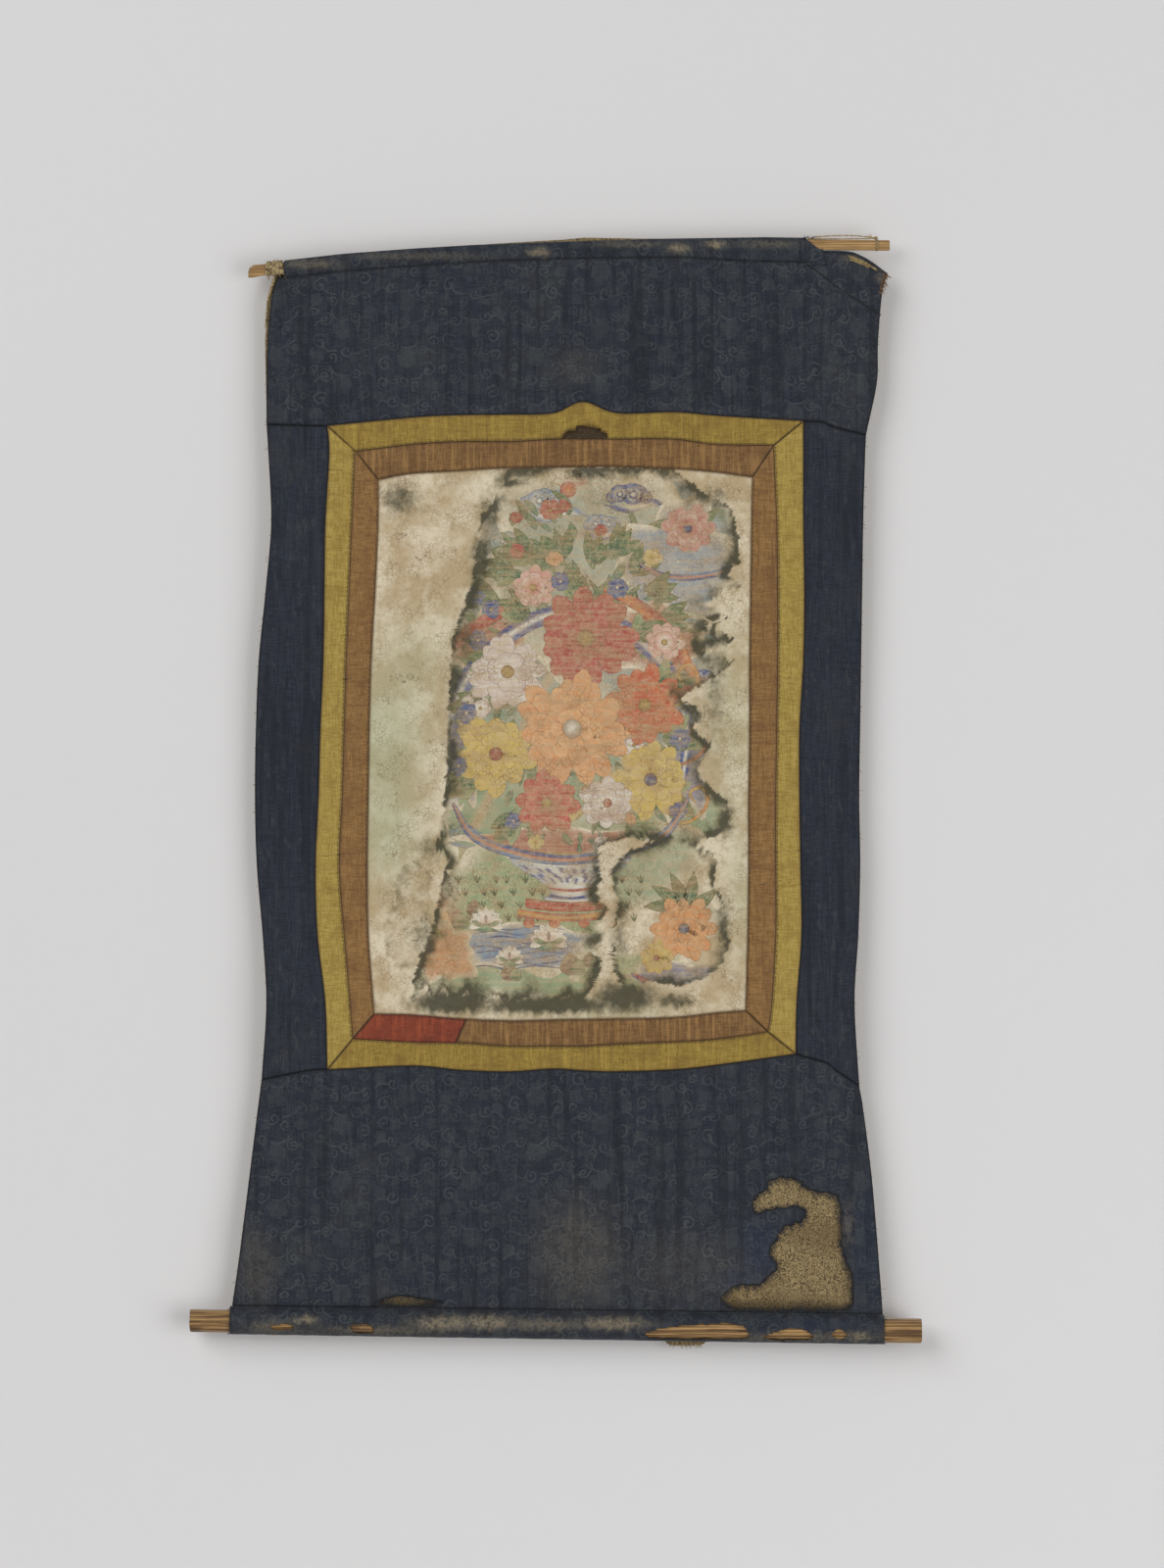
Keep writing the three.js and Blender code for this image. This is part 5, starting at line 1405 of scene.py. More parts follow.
def petal(x0, z0, angle, length, width, base, tip, level, bend=0, fullness=1.5, blunt=0.6, cells=(8, 5)):
    """Leaf shape: half width is a sine of v to a power, carried along a line that bends evenly."""
    v = np.linspace(0.02, 0.99, cells[0] + 1)[:, None]
    u = np.linspace(-1, 1, cells[1] + 1)[None, :]
    half = 0.5 * width * np.sin(np.pi * v ** fullness) ** blunt
    turned = math.radians(angle) + math.radians(bend) * v
    run = length * v
    across = u * half
    x = x0 + run * np.cos(turned) - across * np.sin(turned)
    z = z0 + run * np.sin(turned) + across * np.cos(turned)
    rim = np.minimum((1 - np.abs(u)) * half, 0.6 * (1 - v) * length)
    shade = np.clip(v ** 1.3 + 0.18 * (np.abs(u) - 0.5), 0, 1)
    stroke(x, z, level, tint(base, tip, shade), rim)


def flower(x0, z0, radius, base, tip, heart, level, petals, turn=0):
    """Rings of petals from the outer one inwards, every second petal lying over its neighbours."""
    draw = np.random.default_rng(abs(int(1000 + x0 * 3 + z0)))
    for ring, number in enumerate(petals):
        reach = radius * (1 - 0.21 * ring)
        for index in range(number):
            angle = turn + 360 * (index + 0.5 * (ring % 2)) / number + draw.uniform(-5, 5)
            size = reach * (1 + 0.12 * draw.uniform(-1, 1))
            wide = 2.6 * np.pi * reach * 0.62 / number
            edge = tint(base, tip, 0.55 + 0.12 * ring + 0.1 * draw.uniform(-1, 1))
            petal(x0, z0, angle, size, wide, base, edge, level + ring + 0.5 * (index % 2),
                  bend=draw.uniform(-8, 8), fullness=1.9, blunt=0.5)
    disc(x0, z0, radius * 0.17, heart, tint(heart, (90, 60, 34), 0.5), level + len(petals) + 0.6)


def disc(x0, z0, radius, inner, outer, level, hole=0.03, squash=1):
    """Round or ring-shaped stroke on polar lines."""
    r = np.linspace(hole, 1, 5)[:, None]
    a = np.radians(360 * even(23))[None, :]
    x = x0 + radius * r * np.cos(a)
    z = z0 + radius * squash * r * np.sin(a)
    inside = (r - hole) * radius if hole > 0.1 else np.full_like(r, 1e3)
    rim = np.minimum((1 - r) * radius, inside) + 0 * a
    stroke(x, z, level, tint(inner, outer, (r - hole) / (1 - hole) + 0 * a), rim)


def lotus(x0, z0, size, level):
    """Three fans of pointed petals opening upwards, over two curled leaves."""
    for row, (number, spread, share) in enumerate(((9, 84, 1), (7, 62, 0.86), (5, 36, 0.7))):
        for index in range(number):
            lean = spread * (2 * index / (number - 1) - 1)
            shade = tint(WHITE, ROSE, 0.25 * (index % 2) + 0.12)
            petal(x0, z0, 90 - lean, size * share, size * 0.46, shade, WHITE, level + row + 0.4 * (index % 2),
                  bend=-0.22 * lean, fullness=1.25, blunt=0.85)
    for side in (-1, 1):
        petal(x0, z0, 90 - 100 * side, size * 0.8, size * 0.3, GREEN, PALE_GREEN, level + 3.2, bend=24 * side)


def leaf(x0, z0, angle, length, width, level, dark=GREEN, light=MOSS, bend=14):
    petal(x0, z0, angle, length, width, dark, light, level, bend=bend, fullness=0.85, blunt=0.9)
    petal(x0, z0, angle, length * 0.9, max(width * 0.06, 0.8), PALE_GREEN, PALE_GREEN, level + 0.3, bend=bend,
          fullness=0.9, blunt=0.4, cells=(8, 2))


def ribbon(points, width, first, second, level, taper=0.25, count=40, stripe=None):
    """Band of even width along a smooth line, narrowed to its ends; a stripe may run along it."""
    line = through(points, count)
    way = np.gradient(line, axis=0)
    way /= np.hypot(*way.T)[:, None]
    share = even(count)[:, None]
    half = 0.5 * width * np.minimum(1, taper + np.sin(np.pi * share) ** 0.6)
    u = np.linspace(-1, 1, 5)[None, :]
    x = line[:, :1] - u * half * way[:, 1:]
    z = line[:, 1:] + u * half * way[:, :1]
    sway = 0.5 + 0.5 * np.sin(share * 9 + 2 * u)
    colour = tint(first, second, sway)
    if stripe is not None:
        colour = np.where((np.abs(u) < 0.3)[..., None], np.array(stripe, float), colour)
    stroke(x, z, level, colour, (1 - np.abs(u)) * half)


def cloud(x0, z0, size, light, dark, level, number):
    """A bank of overlapping curls, the larger ones in the middle, with a trailing scarf of mist."""
    draw = np.random.default_rng(abs(int(5000 + x0 + 2 * z0)))
    scarf = [(x0 + size * dx, z0 - size * dz) for dx, dz in ((-1.1, 0.35), (0, 0.5), (0.9, 0.2), (1.7, 0.4))]
    ribbon(scarf, 0.34 * size, light, dark, level, taper=0.05)
    for index in range(number):
        share = (index + 0.5) / number * 2 - 1
        radius = size * (0.46 - 0.2 * abs(share)) * draw.uniform(0.85, 1.15)
        cx = x0 + 0.85 * size * share
        cz = z0 + 0.22 * size * (1 - share * share) + draw.uniform(-0.08, 0.08) * size
        depth = level + 0.4 + 0.5 * ((index * 3) % number) / number
        disc(cx, cz, radius, light, dark, depth)
        disc(cx + 0.1 * radius, cz - 0.08 * radius, radius * 0.62, dark, light, depth + 0.04, hole=0.35)


def wash(x0, z0, half_x, half_z, colour, level, cover, seed, wobble=0.18):
    """Soft-edged patch of thin colour with an uneven outline."""
    r = np.linspace(0.02, 1, 15)[:, None]
    a = np.linspace(0, 2 * np.pi, 61)[None, :]
    uneven = 1 + wobble * waves(a, (2.1, 1.26, 0.7), 70 + seed)
    x = x0 + half_x * r * uneven * np.cos(a)
    z = z0 + half_z * r * uneven * np.sin(a)
    stroke(x, z, level, np.array(colour, float), 50, cover * (1 - smooth(r, 0.7, 1)) + 0 * a)


def paint_land():
    for seed, patch_of_colour in enumerate((
            (30, -330, 125, 110, (136, 146, 128), 0, 0.75), (90, -420, 70, 110, (112, 130, 126), 0.4, 0.75),
            (-40, -668, 96, 74, (138, 152, 112), 0.2, 0.95), (-150, -640, 40, 60, (150, 158, 124), 0.3, 0.6),
            (60, -620, 76, 60, (132, 146, 116), 0.6, 0.8), (-46, -712, 70, 24, SLATE, 1, 0.95),
            (66, -738, 60, 22, (140, 152, 112), 0.9, 0.8)), 1):
        wash(*patch_of_colour, seed)
    for number, (x0, z0, half_x, half_z, colour) in enumerate((
            (-84, -404, 40, 34, CRIMSON), (92, -396, 44, 40, CRIMSON), (-6, -606, 96, 16, CRIMSON),
            (-108, -512, 20, 64, INDIGO), (124, -520, 22, 60, INDIGO), (-152, -662, 30, 40, CRIMSON),
            (112, -320, 60, 60, SLATE), (-128, -720, 34, 30, ORANGE), (118, -742, 60, 14, INDIGO),
            (-162, -540, 26, 50, (158, 166, 130)), (-158, -300, 34, 46, (186, 158, 126)))):
        wash(x0, z0, half_x, half_z, colour, 4.2 + 0.02 * number, 0.72, 10 + number, wobble=0.3)
    for index in range(9):
        z0 = -694 - 5 * index
        shift = 9 * ((index * 5) % 4)
        ribbon([(-104 + shift, z0), (-84 + shift, z0 + 2.2), (-60 + shift, z0 - 1.4), (-34 + shift, z0 + 2),
                (-4, z0 - 1)], 1.6, SLATE, INDIGO, 1.4 + 0.05 * index, count=34)
    stone = {"fullness": 0.7, "blunt": 0.7}
    for x0, z0, size in ((-118, -690, 26), (-96, -676, 18), (2, -736, 24), (22, -728, 16), (-60, -742, 20)):
        petal(x0, z0 - 6, 90, size, size * 0.9, (104, 82, 62), (160, 136, 104), 2, **stone)
        petal(x0 + size * 0.3, z0 - 6, 84, size * 0.7, size * 0.6, (92, 100, 72), (150, 150, 110), 2.3,
              **stone)
    for index in range(46):
        x0 = -112 + 4.1 * index + 3 * ((index * 7) % 3)
        z0 = -648 - 13 * ((index * 5) % 4)
        for lean in (64, 90, 116):
            petal(x0, z0, lean, 9, 1.8, GREEN, MOSS, 1.8, bend=8, fullness=0.8, cells=(4, 2))


def paint_foliage():
    """Small leaves and blossoms strewn behind the nosegay, as seeded draws kept inside an oval."""
    draw = np.random.default_rng(81)
    shades = (GREEN, MOSS, (84, 112, 92), (118, 132, 92))
    for index in range(190):
        angle, reach = draw.uniform(0, 2 * np.pi), draw.uniform(0.45, 1.05)
        x0, z0 = 2 + 122 * reach * math.cos(angle), -440 + 172 * reach * math.sin(angle)
        leaf(x0, z0, math.degrees(angle) + draw.uniform(-50, 50), draw.uniform(12, 26), draw.uniform(5, 10),
             4 + 0.008 * index, dark=shades[index % 4], light=shades[(index + 1) % 4])
    blooms = ((CRIMSON, ROSE), (WHITE, LILAC), (ORANGE, CREAM), (OCHRE, CREAM), (INDIGO, SLATE))
    for index in range(34):
        angle, reach = draw.uniform(0, 2 * np.pi), draw.uniform(0.66, 1.08)
        x0, z0 = 2 + 120 * reach * math.cos(angle), -438 + 172 * reach * math.sin(angle)
        flower(x0, z0, draw.uniform(6, 12), *blooms[index % 5], OCHRE, 6 + 0.02 * index, (6, 4))


def paint_sky():
    for bank in ((-24, -262, 27, WHITE, SLATE, 3, 7), (96, -470, 26, PALE_GREEN, SLATE, 3.3, 7),
                 (124, -520, 20, CREAM, (124, 140, 150), 3.4, 6),
                 (-104, -600, 18, PALE_GREEN, SLATE, 3.1, 5), (138, -440, 16, WHITE, INDIGO, 3.5, 5),
                 (4, -234, 16, ROSE, CREAM, 3.2, 5), (62, -254, 24, CREAM, INDIGO, 3, 6),
                 (34, -284, 20, (196, 176, 150), SLATE, 3.6, 5),
                 (-62, -302, 19, WHITE, (122, 140, 132), 3.4, 5),
                 (132, -352, 18, (198, 170, 140), INDIGO, 3.2, 5),
                 (118, -392, 22, PALE_GREEN, SLATE, 3.4, 6)):
        cloud(*bank)
    disc(0, -246, 8.5, ORANGE, CRIMSON, 4.6)
    disc(-92, -250, 8, WHITE, SLATE, 4.6)
    for x0, z0, angle in ((-56, -330, 150), (-20, -326, 120), (22, -322, 60), (62, -330, 30), (80, -352, 8),
                          (-76, -352, 172), (-6, -318, 95), (44, -312, 42), (-40, -314, 134), (92, -376, -8)):
        for spread in (-26, 0, 26):
            leaf(x0, z0, angle + spread, 34, 13, 4.8 + 0.01 * spread, bend=10)
        leaf(x0 + 4, z0 - 6, angle + 40, 24, 9, 4.4, dark=MOSS, light=PALE_GREEN)


def paint_scarves():
    ribbon([(-112, -560), (-122, -500), (-104, -440), (-62, -396), (-10, -372), (46, -382), (96, -424),
            (120, -486), (116, -552)], 17, INDIGO, (70, 92, 140), 5.6, count=90, stripe=WHITE)
    ribbon([(-118, -566), (-96, -600), (-50, -618), (0, -624), (52, -616), (98, -598), (122, -562)], 11,
           INDIGO, SLATE, 12.6, count=80, stripe=ORANGE)
    for line, edge in (([(-30, -350), (-70, -372), (-104, -392), (-128, -420), (-132, -452)], ROSE),
                       ([(36, -348), (74, -366), (104, -392), (122, -426), (138, -448)], ORANGE)):
        ribbon(line, 12, CRIMSON, edge, 6.4, count=60)
    for line, edge in (([(96, -470), (118, -462), (132, -440), (124, -424), (112, -434), (120, -448)], OCHRE),
                       ([(104, -530), (130, -520), (144, -500), (134, -486), (124, -496), (132, -508)],
                        CRIMSON),
                       ([(98, -588), (126, -584), (142, -566), (136, -550), (124, -556), (130, -566)],
                        OCHRE)):
        ribbon(line, 4, ORANGE, edge, 7)


def paint_nosegay():
    for x0, z0, angle, length in ((-84, -470, 165, 44), (-92, -540, 196, 44), (-70, -430, 140, 40),
                                  (88, -450, 28, 46), (96, -500, 2, 48), (94, -556, -20, 44),
                                  (-50, -580, 214, 40), (60, -586, -40, 40), (70, -400, 48, 36),
                                  (-44, -380, 124, 34), (10, -360, 92, 34)):
        leaf(x0, z0, angle, length, 19, 6.8, bend=16 if angle > 90 else -16)
        leaf(x0, z0, angle + 26, length * 0.8, 15, 6.6, dark=MOSS, light=PALE_GREEN)
        leaf(x0, z0, angle - 26, length * 0.8, 15, 6.7)
    for bloom in (
            # x, z, radius, petal colours, heart, place in the stack, petals of each ring, turn
            (18, -398, 52, CRIMSON, ROSE, OCHRE, 8, (12, 10, 8, 6), 9),
            (-62, -432, 40, WHITE, LILAC, OCHRE, 8.2, (13, 10, 7)),
            (-74, -516, 42, OCHRE, (208, 182, 104), CRIMSON, 8.4, (11, 9, 7), 20),
            (78, -466, 40, (176, 72, 52), ORANGE, OCHRE, 8.6, (12, 9, 7), 12),
            (84, -542, 40, OCHRE, (210, 186, 110), INDIGO, 8.8, (12, 9, 7)),
            (4, -490, 58, ORANGE, (222, 176, 126), WHITE, 10, (14, 12, 9, 7), 4),
            (-22, -566, 32, CRIMSON, (206, 128, 104), OCHRE, 11.4, (10, 8, 6), 30),
            (40, -566, 28, WHITE, LILAC, ROSE, 11.4, (10, 8, 6), 14),
            (-36, -346, 22, ROSE, WHITE, OCHRE, 8.2, (9, 7, 5)),
            (98, -402, 20, WHITE, ROSE, OCHRE, 8.2, (9, 7, 5))):
        flower(*bloom)
    for x0, z0, size in ((-104, -474, 11), (-112, -528, 10), (114, -500, 11), (112, -574, 10), (50, -346, 11),
                         (-8, -340, 10), (-92, -400, 10), (-56, -584, 9)):
        flower(x0, z0, size, INDIGO, SLATE, WHITE, 9.8, (7, 5))


def paint_bowl():
    """Footed bowl: half width is worked out over its height, and its bands run along the height."""
    v = even(33)[:, None]
    u = np.linspace(-1, 1, 25)[None, :]
    half = 20 + 42 * smooth(v, 0.12, 0.85) + 9 * smooth(0.1 - v, 0, 0.1) + 4 * smooth(v, 0.94, 1)
    x = 2 + half * u
    z = -664 + 50 * v - 3 * (1 - u * u) + 0 * u
    colour = tint(WHITE, SLATE, np.clip(0.15 + 0.5 * np.abs(u) ** 3 + 0 * v, 0, 1))
    for low, high, band in ((0.06, 0.12, INDIGO), (0.2, 0.26, CRIMSON), (0.84, 0.91, INDIGO),
                            (0.95, 1.01, OCHRE)):
        banded = (v >= low) & (v < high) & (np.abs(u) <= 1)
        colour = np.where(banded[..., None], np.array(band, float), colour)
    scroll = (np.sin(9 * np.pi * u) * 0.12 + 0.54 - v)
    colour = np.where((np.abs(scroll) < 0.05)[..., None], np.array(INDIGO, float), colour)
    rim = np.minimum((1 - np.abs(u)) * half, 50 * np.minimum(v, 1 - v) + 0.2)
    stroke(x, z, 12, colour, rim)
    ribbon([(-44, -668), (-20, -671), (2, -672), (24, -671), (48, -668)], 10, CRIMSON, (164, 74, 54), 11.8,
           taper=0.8)
    ribbon([(-52, -678), (-20, -682), (2, -683), (24, -682), (56, -678)], 8, CRIMSON, ORANGE, 11.6, taper=0.8,
           stripe=OCHRE)
    for x0 in (-40, -14, 16, 44):
        petal(x0, -680, -90, 14, 12, CRIMSON, ORANGE, 11.2)


def paint_corners():
    flower(-160, -312, 26, ROSE, CREAM, OCHRE, 4, (9, 7, 5))
    ribbon([(-190, -344), (-170, -352), (-150, -346), (-122, -350), (-100, -344)], 5, ROSE, CREAM, 3.6)
    cloud(-168, -440, 18, CREAM, (168, 150, 118), 3.2, 5)
    flower(122, -286, 27, CRIMSON, WHITE, INDIGO, 5.2, (10, 8, 6))
    leaf(122, -286, 160, 40, 13, 5)
    leaf(122, -286, 20, 38, 13, 5)
    ribbon([(72, -322), (96, -334), (122, -336), (150, -332), (172, -324)], 7, INDIGO, SLATE, 5,
           stripe=ORANGE)
    flower(-160, -656, 22, (126, 50, 40), (158, 84, 66), OCHRE, 4.6, (10, 8, 6))
    flower(-164, -706, 20, (120, 44, 38), ROSE, WHITE, 4.6, (9, 7))
    leaf(-150, -680, -60, 34, 12, 4.4, dark=(96, 84, 48), light=OCHRE)
    leaf(-150, -690, 60, 30, 10, 4.4)
    petal(-132, -735, 84, 60, 24, (186, 132, 84), (196, 158, 112), 3.8, fullness=0.9)
    flower(118, -694, 33, ORANGE, (214, 160, 104), INDIGO, 5.6, (12, 9, 7))
    flower(90, -724, 18, OCHRE, (206, 180, 102), CRIMSON, 6.2, (9, 7))
    for angle in (62, 96, 128, 160, 20):
        leaf(118, -676, angle, 42, 14, 5)
    ribbon([(64, -740), (90, -752), (122, -754), (150, -746)], 7, INDIGO, CRIMSON, 5.2)
    for x0, z0, size in ((-84, -690, 18), (-20, -708, 20), (-60, -726, 15)):
        disc(x0, z0 - 2, size * 0.9, PALE_GREEN, GREEN, 2.6, squash=0.36)
        lotus(x0, z0, size, 3)


def paint_finish():
    paint = Finish("mineral_colours", 0.82)
    colour = paint.attribute("colour", colour=True)
    shade = paint.noise(6, 5, rough=0.7)
    colour = paint.over(colour, shade, 0.38, 0.7, 0.4, (200, 182, 150))
    bled = paint.noise(19, 4, stretch=(1.8, 1, 1), rough=0.6)
    colour = paint.over(colour, bled, 0.46, 0.66, 0.5, (150, 116, 82))
    line = paint.step(paint.noise(7, 3), 0.42, 0.6, 0.15, 0.6)
    edge = paint.times(paint.step(paint.attribute("rim"), 0.35, 0.85, 1, 0), line)
    colour = paint.mix(edge, colour, (84, 60, 44))
    return aged(paint, colour)


def make_paint():
    paint_land()
    paint_sky()
    paint_foliage()
    paint_scarves()
    paint_nosegay()
    paint_bowl()
    paint_corners()
    points = np.vstack([part for part, _ in STROKES])
    start = np.cumsum([0] + [len(part) for part, _ in STROKES])
    faces = np.vstack([cells + first for (_, cells), first in zip(STROKES, start)])
    x, z = points[:, 0], points[:, 1]
    # Strokes end a little inside the picture's seams
    left = np.interp(z, PICTURE["left"][:, 1], PICTURE["left"][:, 0]) + 1
    right = np.interp(z, PICTURE["right"][:, 1], PICTURE["right"][:, 0]) - 1
    low = np.interp(x, PICTURE["bottom"][:, 0], PICTURE["bottom"][:, 1]) + 1
    high = np.interp(x, PICTURE["top"][:, 0], PICTURE["top"][:, 1]) - 1
    beyond = (x < left) | (x > right) | (z < low) | (z > high)
    faces = faces[~beyond[faces].all(1)]
    x, z = np.clip(x, left, right), np.clip(z, low, high)
    used, faces = np.unique(faces, return_inverse=True)
    x, z, faces = x[used], z[used], faces.reshape(-1, 4)
    level, rim, cover = points[used, 2:5].T
    y = hang(x, z) - SKIN["first"] - SKIN["step"] * level
    piece = add_piece("paint_skin", upright(x, z, y), faces, paint_finish())
    give(piece, "rim", rim)
    give_colour(piece, points[used, 5:], cover)
    give_age(piece, x, z)
    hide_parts("picture")


make_paint()


# The threads come last: the knotted string near the right tip of the stave, torn cloth wound round its
# left tip, stitches along the seams, and loose ends where silk and cotton have frayed.
PLY = {"radius": 0.42, "apart": 0.36, "pitch": 3.6}
STRING_LINES = [
    # x, depth and z of points along each of the two strands
    [(251.8, -0.9, 11.35), (262, -0.9, 12.3), (275, -0.8, 13), (291, -0.6, 13), (304, -0.3, 11.9),
     (313.5, 0, 10.6)],
    [(243.8, 0.8, 9.95), (260, 0.8, 9.8), (285, 0.8, 9.85), (313.5, 0.4, 10.2)],
]
STRING_KNOT = {"x": 313.9, "z": 10.5, "radius": 1.35}
WRAP = {"from": -308, "to": -291, "turns": 12, "half_y": 4.3, "above": 8.1, "below": 7.4, "radius": 0.95}
ROLLED_HEM = [(250, -3.6), (272, -3.2), (289, -4.6), (300, -9), (308, -13.6), (317, -20), (324.5, -26.5)]
TORN_LINING = [(286, -7.4), (296, -11.2), (306, -16), (315, -21.6)]
SLIPPED_SEAM = [(236.5, -13.2), (250, -20.5), (262, -29.5), (276, -40), (290, -50), (306, -60.5),
                (319, -68.3)]


def square_to(path):
    """Two directions at each point of a path, square to its way and to each other."""
    way = np.gradient(path, axis=0)
    way /= np.linalg.norm(way, axis=1, keepdims=True)
    aside = np.cross(way, (0.31, 0.87, 0.39))
    aside /= np.linalg.norm(aside, axis=1, keepdims=True)
    return aside, np.cross(way, aside)


def cord_rings(path, radius, sides):
    """Rings square to a path of points; the last ring at each end is drawn in to a blunt tip."""
    aside, over = square_to(path)
    turn = full_turn(sides)[None, :, None]
    size = np.full((len(path), 1, 1), float(radius))
    size[[0, -1]] *= 0.6
    return path[:, None] + size * (np.cos(turn) * aside[:, None] + np.sin(turn) * over[:, None])


def strands(name, slot, material, *bundles):
    """One piece made of many threads; each bundle is a list of paths, a radius and a number of sides."""
    points, faces, count = [], [], 0
    for paths, radius, sides in bundles:
        for path in paths:
            part, walls = tube(cord_rings(np.asarray(path, float), radius, sides))
            points.append(part)
            faces += [[corner + count for corner in face] for face in walls]
            count += len(part)
    piece = add_piece(name, np.vstack(points), faces, material)
    return piece


def spun(name, dark, light):
    """Spun thread: lighter and darker along its length, with a fuzzy surface."""
    thread = Finish(name, 0.9, sheen=0.2)
    tone = thread.noise(3, 3, rough=0.7)
    fibre = thread.noise(0.5, 2)
    uneven = thread.times_plus(fibre, 0.4, thread.times(tone, 0.6))
    base = thread.mix(thread.step(uneven, 0.38, 0.62), dark, light)
    return thread.finish(base, fibre, 0.15)


def curve(points, count):
    """Smooth path in space through a few points, each coordinate eased on its own."""
    p = np.asarray(points, float)
    at = np.linspace(0, len(p) - 1, count)
    low = np.minimum(at.astype(int), len(p) - 2)
    share = (at - low)[:, None]
    slope = np.gradient(p, axis=0)
    square, cube = share ** 2, share ** 3
    return ((2 * cube - 3 * square + 1) * p[low] + (cube - 2 * square + share) * slope[low]
            + (3 * square - 2 * cube) * p[low + 1] + (cube - square) * slope[low + 1])


def plied(path):
    """Two threads twisted round each other along a path."""
    aside, over = square_to(path)
    run = np.concatenate([[0], np.cumsum(np.linalg.norm(np.diff(path, axis=0), axis=1))])
    twist = (2 * np.pi * run / PLY["pitch"])[:, None]
    return [path + PLY["apart"] * (np.cos(twist + side) * aside + np.sin(twist + side) * over)
            for side in (0, np.pi)]


def frayed(roots, ways, low, high, seed, droop=0.3):
    """Loose ends: each leaves its root (one way for all, or its own), bends to one side and sags."""
    draw = np.random.default_rng(seed)
    share = even(6)[None, :, None]
    reach = draw.uniform(low, high, (len(roots), 1, 1))
    bend = draw.normal(0, 0.35, (len(roots), 1, 3)) * np.array([1, 0.3, 1])
    ways = np.broadcast_to(np.asarray(ways, float), (len(roots), 3))[:, None]
    out = ways * share + (bend + np.array([0, 0, -droop])) * share ** 2
    return list(np.asarray(roots, float)[:, None] + reach * out)


def stitched(line, pitch, length, seed):
    """Stitches along a line on the cloth: short arcs, none quite straight."""
    draw = np.random.default_rng(seed)
    run = np.concatenate([[0], np.cumsum(np.hypot(*np.diff(line, axis=0).T))])
    start = np.arange(0.5 * pitch, run[-1] - length, pitch)
    start = start + draw.uniform(-0.2, 0.2, len(start)) * pitch
    share = even(5)[None, :]
    at = np.maximum(start, 0)[:, None] + length * share
    x = np.interp(at, run, line[:, 0]) + draw.normal(0, 0.22, (len(start), 1)) * (share - 0.5) * 2
    z = np.interp(at, run, line[:, 1]) + draw.normal(0, 0.22, (len(start), 1)) * (share - 0.5) * 2
    y = hang(x, z) - 0.2 - 0.28 * np.sin(np.pi * share)
    return list(upright(x, z, y))


def beside(line, distance):
    """The same line moved sideways, to the left of the way that it runs."""
    way = np.gradient(line, axis=0)
    way /= np.hypot(*way.T)[:, None]
    return line + distance * np.column_stack([-way[:, 1], way[:, 0]])


def on_cloth(points, count, lift):
    """A smooth path in the picture plane, laid on the front of the cloth."""
    line = through(points, count)
    return upright(*line.T, hang(*line.T) - lift)


def make_string():
    ochre = spun("string_thread", (96, 80, 50), (182, 158, 112))
    lines = [curve(points, 60) for points in STRING_LINES]
    turn = even(60)
    angle = 2 * np.pi * turn * 2.1
    reach = 1 / np.maximum(np.abs(np.cos(angle)), np.abs(np.sin(angle))) ** 0.62
    middle = along(STAVE_LINE, NOTCH["x"])
    loop = upright(NOTCH["x"] - 0.8 + 1.7 * turn, middle + 5.35 * reach * np.cos(angle),
                   3.55 * reach * np.sin(angle))
    knot_turn = np.linspace(0, 2 * np.pi, 70)
    wide = STRING_KNOT["radius"] * (0.62 + 0.38 * np.cos(3 * knot_turn))
    knot = upright(STRING_KNOT["x"] + wide * np.cos(2 * knot_turn),
                   STRING_KNOT["z"] + 0.9 * STRING_KNOT["radius"] * np.sin(3 * knot_turn),
                   wide * np.sin(2 * knot_turn))
    ends = frayed(np.full((9, 3), (311, -0.6, 10.9)), (-0.9, -0.1, 0.35), 2, 6.5, 201, droop=0.1)
    twisted = [thread for path in (*lines, loop, knot) for thread in plied(path)]
    piece = strands("string_cord", "string", ochre, (twisted, PLY["radius"], 5), (ends, 0.2, 4))
    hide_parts("hanging_string")


def make_lashing():
    """A helix round the stave whose turns stand off it by uneven amounts, with ragged ends."""
    old = spun("lashing_cloth", (66, 50, 30), (182, 162, 120))
    share = even(26 * WRAP["turns"])
    angle = 2 * np.pi * WRAP["turns"] * share
    x = WRAP["from"] + (WRAP["to"] - WRAP["from"]) * share
    square = 1 / np.maximum(np.abs(np.cos(angle)), np.abs(np.sin(angle))) ** 0.5
    stands = 1 + 0.1 * waves(share, (0.11, 0.043, 0.3), 202)
    up = np.where(np.cos(angle) > 0, WRAP["above"], WRAP["below"]) * np.cos(angle)
    stands = 0.86 * square * stands
    turns = upright(x + 1.1 * np.sin(angle + 5 * share), along(STAVE_LINE, x) + stands * up,
                    WRAP["half_y"] * stands * np.sin(angle))
    crossed = turns[::-1] * np.array([1, 1.06, 1])
    crossed = crossed[::2] + np.array([0, 0, 0.5])
    draw = np.random.default_rng(203)
    at = draw.integers(0, len(turns), 60)
    outward = turns[at] - upright(x[at], along(STAVE_LINE, x[at]), 0)
    outward /= np.linalg.norm(outward, axis=1, keepdims=True)
    ends = frayed(turns[at], outward + np.array([0, 0, -0.3]), 1.2, 4, 204)
    tails = []
    for index in range(12):
        top = draw.uniform(-34, -24)
        z = np.linspace(top, top - draw.uniform(18, 52), 14)
        wide = draw.uniform(-0.8, 1.4) * np.interp(z, (-85, -40), (0.3, 1))
        edge = across_at(LINING_LEFT_EDGE, z) - wide + 0.35 * waves(z, (5, 9, 17), 205 + index)
        tails.append(upright(edge, z, hang(edge, z) + draw.uniform(0.6, 2.4)))
    piece = strands("lashing_wrap", "lining", old, ([turns], WRAP["radius"], 7), ([crossed], 0.6, 5),
                    (ends, 0.24, 4), (tails, 0.5, 5))
    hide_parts("lashing")


